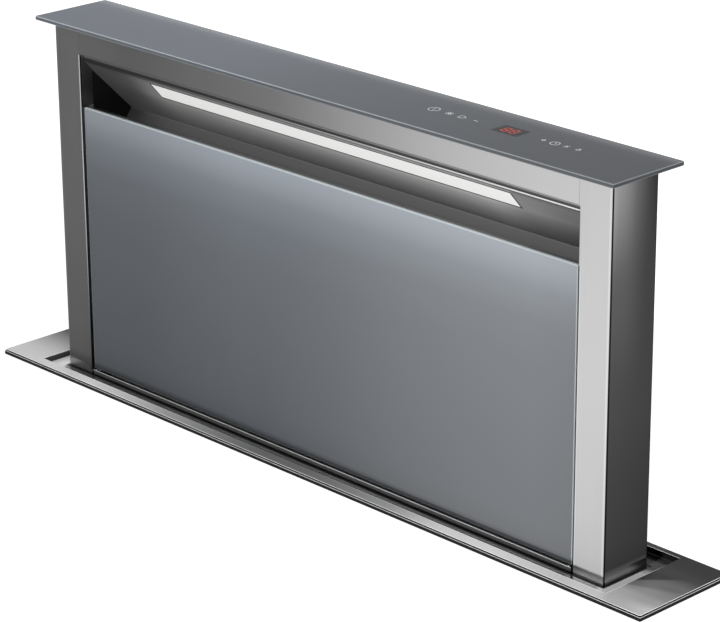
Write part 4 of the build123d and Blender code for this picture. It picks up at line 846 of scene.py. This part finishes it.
def loop(shape, place, path, width):
    """A closed printed line: two outlines set off to both sides of a closed path."""
    path = np.asarray(path, float) + [place, SYMBOL_Y]
    way = np.roll(path, -1, axis=0) - np.roll(path, 1, axis=0)
    way /= np.linalg.norm(way, axis=1, keepdims=True)
    side = np.stack([way[:, 1], -way[:, 0]], axis=1) * width / 2
    low, high = CAP_TOP, CAP_TOP + PRINT_T
    outlines = [path + side, path + side, path - side, path - side]
    shape.add(rings_of(outlines, [low, high, high, low], "Z"), wrap=True)


ON_X, FAN_X, AIR_X, LESS_X = 127.3, 146.3, 161.8, 178.5
MORE_X, TIMER_X, FILTER_X, LAMP_X = 259.5, 272.6, 286, 299.2


def touch_symbols():
    """Generic signs of the keys: on, fan, air, less, more, timer, filter and lamp."""
    shape = Shape()
    loop(shape, ON_X, circle(5.4, 40), 0.75)
    stroke(shape, ON_X, [(0, -2.6), (0, 2.6)], 0.8)
    for centre in circle(2.1, 4) @ (np.array([(1, 1), (-1, 1)]) * math.sqrt(0.5)):
        loop(shape, FAN_X, circle(1.25, 14, centre), 0.6)
    wave = 3.6 + 0.5 * np.cos(3 * np.linspace(0, 2 * math.pi, 48, endpoint=False))[:, None]
    loop(shape, AIR_X, circle(1, 48) * wave * [1, 0.85], 0.75)
    stroke(shape, LESS_X, [(-2.5, 0), (2.5, 0)], 0.9)
    stroke(shape, MORE_X, [(-2.6, 0), (2.6, 0)], 0.9)
    stroke(shape, MORE_X, [(0, -2.6), (0, 2.6)], 0.9)
    loop(shape, TIMER_X, circle(4.4, 36), 0.75)
    stroke(shape, TIMER_X, [(0, 2.6), (0, 0), (2, 0)], 0.7)
    stroke(shape, FILTER_X, [(-1.8, -3), (1.4, 3)], 0.6)
    stroke(shape, FILTER_X, [(-2.4, 0.4), (2.2, -1.4)], 0.6)
    stroke(shape, FILTER_X, [(-2, 2.2), (0.6, 1.2)], 0.5)
    loop(shape, LAMP_X, rectangle(-2, 2, -1.5, 1.5, 1.2), 0.6)
    stroke(shape, LAMP_X, [(-1.6, 2.9), (1.6, 2.9)], 0.5)
    shape.piece("touch_symbols", ["mark"], "tower", "board_black")


DISPLAY_X, DISPLAY_HALF, DIGIT_X = 220.5, (15.2, 10), (215.6, 225)
SEGMENT_OUT, SEGMENT_UP = 2.9, 5.2


def display():
    """Dark window flush in the cap with two lit seven-segment digits."""
    shape = Shape()
    low = (DISPLAY_X - DISPLAY_HALF[0], SYMBOL_Y - DISPLAY_HALF[1], CAP_TOP - 0.3)
    high = (DISPLAY_X + DISPLAY_HALF[0], SYMBOL_Y + DISPLAY_HALF[1], CAP_TOP + PRINT_T / 2)
    shape.add(slab(low, high, "Z", 0.8, 0.01, 1), 0)
    for place in DIGIT_X:
        for across, up in ((0, 1), (0, 0), (0, -1), (1, 0.5), (-1, 0.5), (1, -0.5), (-1, -0.5)):
            centre = np.array([SEGMENT_OUT * across, SEGMENT_UP * up])
            reach = (0, 2) if across else (2.2, 0)
            stroke(shape, place, [centre - reach, centre + reach], 0.9, 1)
    shape.piece("display_panel", ["window", "digit"], "tower", "board_black")


touch_symbols()
display()


# ====================================================================== tower sheets
SHEET = 1.2
BEND = 0.9
BETWEEN_POSTS = POST_IN - 0.2
POST_RETURN, POST_FOOT = 14.9, 14
RAIL_RETURN_Y = -25
LIP_INSET = 5.5
FOLD_Y = 23.6
FOLD_Z = LIP_Z - 55.5
TAIL = 17.8
TAIL_LEAN = math.radians(28)


def stiles():
    """Corner posts as bent sheets: inner return, front, side and back, with rounded bends."""
    low, high = node_box("stile_right")
    t = SHEET / 2
    inner, outer, front, back = low[0] + t, high[0] - t, low[1] + t, high[1] - t
    post = sheet_section([(inner, front + POST_RETURN), (inner, front), (outer, front), (outer, back),
            (low[0], back)], SHEET, BEND)
    head = sheet_section([(low[0], front), (outer, front), (outer, back), (low[0], back)], SHEET, BEND)
    for name, turn in (("left", flipped), ("right", np.asarray)):
        shape = Shape()
        shape.add(turn(along_z(post, low[2] + POST_FOOT, RAIL_LOW)))
        shape.add(turn(along_z(head, RAIL_LOW, high[2])))
        shape.add(turn(along_z(head, low[2], low[2] + POST_FOOT)))
        shape.piece(f"stile_skin_{name}", ["stile"], "tower", "tower_steel", [f"stile_{name}"])


def rail():
    """Rail under the cap: a bent sheet with a top and a bottom return."""
    low, high = node_box("top_rail")
    t = SHEET / 2
    section = sheet_section([(high[1], high[2] - t), (low[1] + t, high[2] - t), (low[1] + t, low[2] + t),
            (RAIL_RETURN_Y, low[2] + t)], SHEET, BEND)
    Shape().add(along_x(section, -BETWEEN_POSTS, BETWEEN_POSTS)).piece(
        "rail_skin", ["rail"], "tower", "tower_steel", ["top_rail"])


def baffle():
    """Sheet behind the slot: upstand, lip, slope and the part folded back under it."""
    line = [(TOWER_FRONT + LIP_INSET, LIP_Z + 14), (TOWER_FRONT + LIP_INSET, LIP_Z), (FOLD_Y, FOLD_Z),
            (FOLD_Y - TAIL * math.sin(TAIL_LEAN), FOLD_Z - TAIL * math.cos(TAIL_LEAN))]
    section = sheet_section(set_off(line, SHEET / 2), SHEET, BEND)
    Shape().add(along_x(section, -BETWEEN_POSTS, BETWEEN_POSTS)).piece(
        "baffle_skin", ["baffle"], "tower", "baffle_steel", ["air_baffle"])


stiles()
rail()
baffle()


# ====================================================================== worktop trim
def ring_levels(levels):
    """Rounded rectangles one above another: each level is (x0, x1, y0, y1, corner radius, z)."""
    outlines = [rectangle(*level[:5]) for level in levels]
    return rings_of(outlines, [level[5] for level in levels], "Z")


def eased_ring(node, hole, edge, name, finish, slot):
    """A flat ring of the trim: quarter rounds of radius edge at its outer top edge and 0.3 mm at
    its hole, whose half sizes are given."""
    low, high = node_box(node)
    angle = np.linspace(0, math.pi / 2, 5)
    outer = [(low[0] + s, high[0] - s, low[1] + s, high[1] - s, 1.6, high[2] - r)
             for s, r in zip(edge * (1 - np.cos(angle)), edge * (1 - np.sin(angle)))]
    inner = [(-hole[0] - s, hole[0] + s, -hole[1] - s, hole[1] + s, 0.6 + s, high[2] - r)
             for s, r in zip(0.3 * (1 - np.cos(angle)), 0.3 * (1 - np.sin(angle)))]
    levels = [(low[0], high[0], low[1], high[1], 1.6, low[2])] + outer + inner[::-1]
    levels.append((-hole[0], hole[0], -hole[1], hole[1], 0.6, low[2]))
    Shape().add(ring_levels(levels), wrap=True).piece(name, [finish], "casing", slot, [node])


def recess_pan():
    """Pressed pan of the recess: straight walls, a rounded foot and a folded edge at the slot."""
    low, high = node_box("recess_tray")
    floor = low[2] + 1
    x, y = RECESS_IN_X, RECESS_IN_Y
    foot = [(-x + s, x - s, -y + s, y - s, 1.6, floor + r)
            for s, r in ((0, 1.4), (0.2, 0.6), (0.6, 0.2), (1.4, 0))]
    slot = [(-SLOT_X - s, SLOT_X + s, SLOT_FRONT - s, SLOT_BACK + s, 1.2 + s, floor - r)
            for s, r in ((0.9, 0), (0.3, 0.2), (0, 0.9))]
    rim = [(low[0], high[0], low[1], high[1], 2.2, low[2]), (low[0], high[0], low[1], high[1], 2.2, high[2]),
           (-x, x, -y, y, 1.6, high[2])]
    under = [(-SLOT_X, SLOT_X, SLOT_FRONT, SLOT_BACK, 1.2, low[2])]
    Shape().add(ring_levels(rim + foot + slot + under), wrap=True).piece(
        "recess_pan", ["recess"], "casing", "recess_steel", ["recess_tray"])


def wiper_seal():
    """Rubber seal round the tower: a flat flange under the recess and a lip that thins towards
    the tower."""
    low, high = node_box("slot_seal")
    width = 11
    profile = [(0, low[2]), (0, high[2]), (width, high[2] - 0.1), (width, high[2] - 1.3),
               (width - 4, high[2] - 2.2), (width - 5.5, low[2])]
    levels = [(low[0] + s, high[0] - s, low[1] + s, high[1] - s, 2, z) for s, z in profile]
    Shape().add(ring_levels(levels), wrap=True).piece("wiper_seal", ["rubber"], "casing", "gasket_rubber",
            ["slot_seal"])


eased_ring("trim_frame", (RECESS_IN_X, RECESS_IN_Y), 0.4, "trim_plate", "trim", "trim_steel")
eased_ring("trim_base", (RECESS_IN_X + 1, RECESS_IN_Y + 1), 0.3, "trim_ring", "trim_under", "trim_base_steel")
recess_pan()
wiper_seal()


# ====================================================================== casing, drive and filters
SCREW_R, HEAD_R, HEAD_T, SCREW_LENGTH, SCREW_ROWS, SCREW_SIDES = 2, 3.8, 2.2, 5, 5, 16


def screws():
    """Pan-head screws with a cross recess in the casing's corners: rings about each screw's axis,
    whose radius in the recess is 0.55 + 1.35 cos(2 a)^8, the four arms of the cross."""
    low, high = node_box("casing_screws")
    ring = circle(1, SCREW_SIDES)
    arms = 0.55 + 1.35 * (ring[:, 0] ** 2 - ring[:, 1] ** 2) ** 8
    even = np.ones(SCREW_SIDES)
    radii = np.array([SCREW_R * even, SCREW_R * even, HEAD_R * even, HEAD_R * even, 3.2 * even, 2.2 * even,
            arms, arms * 0.7])
    heights = np.array([-SCREW_LENGTH, 0, 0, 1, 1.9, HEAD_T, HEAD_T - 0.05, 1])[:, None] * even
    across, up = radii * ring[:, 0], radii * ring[:, 1]
    shape = Shape()
    for side, face in ((-1, low[1] + HEAD_T), (1, high[1] - HEAD_T)):
        for x in (low[0] + HEAD_R, high[0] - HEAD_R):
            for z in np.linspace(low[2] + HEAD_R, high[2] - HEAD_R, SCREW_ROWS):
                shape.add(np.stack([x + across, face + side * heights, z + up], axis=2))
    shape.piece("casing_screw_heads", ["screw"], "casing", "screw_steel", ["casing_screws"])


def blower_cover():
    """Pressed cover of the blower box: a plate with a rim behind it and a sunk middle."""
    low, high = node_box("blower_lid")
    plate = low[1] + 1.2
    rows = [(26, low[1] + 2.6), (22, low[1] + 0.3), (21, low[1]), (0.6, low[1]), (0, low[1] + 0.6),
            (0, plate), (1.5, plate), (1.5, high[1]), (2.7, high[1]), (2.7, plate), (20.5, plate),
            (24.8, plate + 2.6)]
    outlines = [rectangle(low[0] + s, high[0] - s, low[2] + s, high[2] - s, 3 + 0.2 * s) for s, y in rows]
    Shape().add(rings_of(outlines, [y for s, y in rows], "Y")).piece(
        "blower_cover", ["zinc_dark"], "casing", "blower_steel", ["blower_lid"])


GLAND_SIDES = 72


def gland():
    """Cable gland: a hexagon nut on a round body with a bore, and a domed cap nut whose grip is
    r = 9 - 0.5 |cos 9 a|."""
    low, high = node_box("cable_gland")
    centre = (low + high) / 2
    ring = circle(1, GLAND_SIDES)
    flute = np.abs(np.cos(9 * np.linspace(0, 2 * math.pi, GLAND_SIDES, endpoint=False)))[:, None]
    rows = [(4, 22, 0), (8.2, 22, 0), (8.2, 10, 0), (9, 9.6, 0), (9, 9.2, 1), (9, 4.6, 1), (9, 4.2, 0),
            (7.9, 1.2, 0), (6.4, 0, 0), (5, 0, 0), (4.6, 0.9, 0), (4, 0.9, 0)]
    outlines = [centre[:2] + (r - 0.5 * grip * flute) * ring for r, z, grip in rows]
    rings = rings_of(outlines, [low[2] + z for r, z, grip in rows], "Z")
    shape = Shape().add(rings, wrap=True)
    nut = [(10.4, 10), (11.4, 10.9), (11.4, 15.1), (10.4, 16), (8.2, 16), (8.2, 10)]
    shape.add(rings_of([circle(r, 6, centre[:2]) for r, z in nut], [low[2] + z for r, z in nut], "Z"),
            wrap=True)
    shape.piece("cable_gland_body", ["black"], "casing", "black_plastic", ["cable_gland"])


def belts():
    """Toothed belts: the pitch line is two half circles of radius 14.3 mm about the pulleys' axes
    and the straight runs between them; the back stands 1 mm outside it and the teeth 1 mm inside."""
    low, high = node_box("lift_belts")
    pitch_r, half_w, tooth_pitch = 14.3, 5, 5
    axis_y, mid_z = (low[1] + high[1]) / 2, (low[2] + high[2]) / 2
    run, bend = high[2] - low[2] - 2 * (pitch_r + 1), math.pi * pitch_r
    teeth = round(2 * (run + bend) / tooth_pitch)
    way = (np.arange(teeth * 4) + 0.5) / (teeth * 4) * 2 * (run + bend)
    far = way >= run + bend
    part = np.where(far, way - run - bend, way)
    turn = np.clip(part - run, 0, None) / pitch_r
    out_y, out_z = np.cos(turn), np.sin(turn)
    mirror = np.where(far, -1, 1)
    run_z = np.minimum(part, run) - run / 2
    tooth = np.tile([1, 1, 0, 0], teeth)
    edges = ((-half_w, 1), (half_w, 1), (half_w, -tooth), (-half_w, -tooth))
    shape = Shape()
    for x in (low[0] + half_w, high[0] - half_w):
        rings = [np.stack([np.full(len(way), x + side), axis_y + mirror * (pitch_r + off) * out_y,
                           mid_z + mirror * (run_z + (pitch_r + off) * out_z)], axis=1)
                 for side, off in edges]
        shape.add(np.stack(rings, axis=1), wrap=True)
    shape.piece("toothed_belts", ["belt"], "casing", "belt_rubber", ["lift_belts"])


FILTER_T, FILTER_RIM = 9, 4
PLEAT, PLEAT_HALF, MESH_T = 9, 2.4, 0.5


def filter_fleece():
    """Pleated mesh between a filter's two plates: the sheet runs at t = 2.4 sin(2 pi u / 9), with u
    along the leaning filter and t through it."""
    for side in ("left", "right"):
        low, high = node_box(f"grease_filter_{side}")
        centre, size = (low + high) / 2, high - low
        lean = math.atan2(size[1] - FILTER_T, size[2])
        length = (size[2] - FILTER_T * math.sin(lean)) / math.cos(lean) - 2 * FILTER_RIM
        u = np.linspace(-length / 2, length / 2, 240)
        wave = np.stack([u, PLEAT_HALF * np.sin(2 * math.pi * u / PLEAT)], axis=1)
        section = np.vstack([set_off(wave, MESH_T / 2), set_off(wave, -MESH_T / 2)[::-1]])
        along = np.array([math.sin(lean), math.cos(lean)])
        across = np.array([math.cos(lean), -math.sin(lean)])
        place = centre[1:] + section[:, :1] * along + section[:, 1:] * across
        Shape().add(along_x(place, low[0] + FILTER_RIM, high[0] - FILTER_RIM)).piece(
            f"filter_mesh_{side}", ["mesh"], f"filter_{side}", "filter_metal")


screws()
blower_cover()
gland()
belts()
filter_fleece()


# ====================================================================== stage
def stage_sheet(name, material, corners, hole=None):
    """A flat sheet of the set, with a hole if one is given."""
    x0, x1, y0, y1, z = corners
    points = [(x0, y0, z), (x1, y0, z), (x1, y1, z), (x0, y1, z)]
    faces = [[0, 1, 2, 3]]
    if hole:
        hx0, hx1, hy0, hy1 = hole
        points += [(hx0, hy0, z), (hx1, hy0, z), (hx1, hy1, z), (hx0, hy1, z)]
        faces = [[0, 1, 5, 4], [1, 2, 6, 5], [2, 3, 7, 6], [3, 0, 4, 7]]
    mesh = bpy.data.meshes.new(name)
    mesh.from_pydata(points, [], faces)
    mesh.materials.append(material)
    made = bpy.data.objects.new(name, mesh)
    bpy.context.scene.collection.objects.link(made)
    return made


def pale_surface(name, colour, glow, sheen):
    """Pale floor: plain diffuse, plus a glow that lifts it to white for the camera and keeps the
    shadow. Reflections see it as a dim studio floor."""
    paint = Paint(name)
    direct, mirrored = paint.seen_directly(), paint.light_path("Glossy")
    lit = paint.node("ShaderNodeBsdfDiffuse", {}, {"Color": colour})
    light = paint.node("ShaderNodeEmission", {}, {"Color": (1, 1, 1),
            "Strength": direct * glow + mirrored * sheen})
    off = paint.node("ShaderNodeEmission", {}, {"Color": (1, 1, 1), "Strength": sheen})
    both = paint.node("ShaderNodeAddShader", {}, {0: lit, 1: light})
    shown = paint.node("ShaderNodeMixShader", {}, {0: mirrored, 1: both, 2: off})
    paint.node("ShaderNodeOutputMaterial", {}, {"Surface": shown})
    return paint.material


def card_surface(name, level_of):
    """Card that only shows in reflections, as a photographer's flag or reflector does. Its light
    is a function of the place on it."""
    paint = Paint(name)
    light = paint.node("ShaderNodeEmission", {}, {"Color": (1, 1, 1), "Strength": level_of(paint)})
    behind = paint.node("ShaderNodeNewGeometry", out="Backfacing")
    clear = paint.node("ShaderNodeBsdfTransparent")
    shown = paint.node("ShaderNodeMixShader", {}, {0: behind, 1: light, 2: clear})
    paint.node("ShaderNodeOutputMaterial", {}, {"Surface": shown})
    return paint.material


def graded(paint, level, stops):
    """Grey from a ramp over a level between 0 and 1; stops are (place, grey)."""
    ramp = [(place, (grey, grey, grey)) for place, grey in stops]
    return paint.node("ShaderNodeValToRGB", {"stops": ramp}, {0: level})


def front_level(paint):
    """Light of the reflector that lies before the vent: the fronts mirror it, so it is dark where
    the left post looks and bright where the right post looks."""
    along = paint.axis("X") - paint.axis("Y") * 1.037
    return graded(paint, (along + 550) / 1100, FRONT_STOPS)


def low_front_level(paint):
    """Light of the upright reflector before the vent, which the posts' feet see by way of the
    polished recess: bright where the right post looks."""
    return 0.12 + paint.axis("X").above(-2150, 300) * 1.4


def back_level(paint):
    """Light of the reflector that stands behind the vent: the tops mirror it, the trim's lower
    than the cap's."""
    return graded(paint, paint.axis("Z", 600) / 400, BACK_STOPS)


WORKTOP = (-1, 0.9, -0.62, 0.5, 0)
CUTOUT = (-0.4274, 0.4274, -0.054, 0.054)
FLOOR = (-6, 6, -6, 6, -0.80)
FRONT_STOPS = [(0, 0.15), (0.20, 0.15), (0.27, 0.107), (0.36, 0.128), (0.455, 0.155), (0.545, 0.385),
               (0.636, 0.73), (0.727, 0.96), (0.80, 1.07), (1, 1.12)]
BACK_STOPS = [(0, 0.10), (0.22, 0.30), (0.42, 0.70), (0.53, 1), (0.585, 1), (0.60, 0.52), (0.622, 0.52),
              (0.632, 0.10), (1, 0.08)]


def reflector(name, level_of, points):
    """A reflector card on four points, hidden from the camera, from plain light and from shadow.
    It shows on the side from which its points run anticlockwise."""
    mesh = bpy.data.meshes.new(name)
    mesh.from_pydata(points, [], [[0, 1, 2, 3]])
    mesh.materials.append(card_surface(name + "_light", level_of))
    card = bpy.data.objects.new(name, mesh)
    bpy.context.scene.collection.objects.link(card)
    for way in ("visible_camera", "visible_diffuse", "visible_shadow", "visible_transmission"):
        setattr(card, way, False)


def studio():
    """Worktop with the vent's cut-out, floor, and the cards that the vent mirrors."""
    worktop = stage_sheet("worktop_sheet", pale_surface("worktop_white", (0.42, 0.42, 0.42), 0.78, 0.10),
            WORKTOP, CUTOUT)
    worktop.visible_shadow = False
    stage_sheet("studio_floor", pale_surface("floor_white", (0.55, 0.55, 0.55), 0.90, 0.15), FLOOR)
    above, front, side = (TRIM_TOP + 0.6) * MM, SLOT_FRONT * MM, SLOT_X * MM
    reflector("front_reflector", front_level,
              [(-2.4, -2.2, above), (1.6, -2.2, above), (1.6, front, above), (-2.4, front, above)])
    reflector("side_reflector", lambda paint: 0.45,
              [(side, front, above), (2.4, front, above), (2.4, 1.9, above), (side, 1.9, above)])
    reflector("overhead_reflector", lambda paint: 0.9,
              [(-2.6, 0.1, 1.5), (-1, 0.1, 2.5), (-1, -1.9, 2.5), (-2.6, -1.9, 1.5)])
    reflector("low_front_reflector", low_front_level,
              [(-1, -2, 0.7), (-2.8, -2, 0.7), (-2.8, -2, 1.5), (-1, -2, 1.5)])
    reflector("back_reflector", back_level,
              [(-4, 1.2, 0.2), (1.2, 1.2, 0.2), (1.2, 1.2, 1.4), (-4, 1.2, 1.4)])


def studio_world():
    """White behind the vent, dim in reflections, and even plain light on everything."""
    paint = Paint("studio_world", bpy.data.worlds)
    bpy.context.scene.world = paint.material
    dim = 0.55 - paint.light_path("Glossy") * 0.33
    level = paint.math("MAXIMUM", paint.seen_directly(), dim)
    light = paint.node("ShaderNodeBackground", {}, {"Color": (1, 1, 1), "Strength": level})
    paint.node("ShaderNodeOutputWorld", {}, {"Surface": light})


def lamp(name, place, aim, size, power):
    """A soft square lamp that points at a place; all in metres."""
    data = bpy.data.lights.new(name, "AREA")
    data.shape = "SQUARE"
    data.size = size
    data.energy = power
    made = bpy.data.objects.new(name, data)
    bpy.context.scene.collection.objects.link(made)
    back = np.array(place, float) - np.array(aim, float)
    made.matrix_world = turned_to(place, back)


def turned_to(place, back):
    """Matrix of an object at a place whose own +Z points along back."""
    back = back / np.linalg.norm(back)
    side = np.cross((0, 0, 1), back)
    side /= np.linalg.norm(side)
    up = np.cross(back, side)
    return Matrix([[side[i], up[i], back[i], place[i]] for i in range(3)] + [[0, 0, 0, 1]])


def camera():
    """The photograph's viewpoint, from the vent's own edges: 146 mm on a 36 mm sensor."""
    data = bpy.data.cameras.new("photo_camera")
    data.sensor_width = 36
    data.lens = 146
    data.clip_end = 60
    made = bpy.data.objects.new("photo_camera", data)
    right = (0.69327, 0.72065, -0.00639)
    down = (0.2486, -0.24746, -0.93646)
    forward = (-0.67644, 0.64764, -0.35071)
    eye = (1.8807, -1.7670, 1.1142)
    rows = [[right[i], -down[i], -forward[i], eye[i]] for i in range(3)]
    made.matrix_world = Matrix(rows + [[0, 0, 0, 1]])
    bpy.context.scene.collection.objects.link(made)
    bpy.context.scene.camera = made


studio()
studio_world()
lamp("key_lamp", (1.6, -1.8, 2.2), (0, 0, 0.2), 1.6, 42)
lamp("back_lamp", (-1.4, 1.8, 1.8), (0, 0, 0.1), 1.6, 18)
camera()
bpy.context.scene.view_settings.view_transform = "Standard"
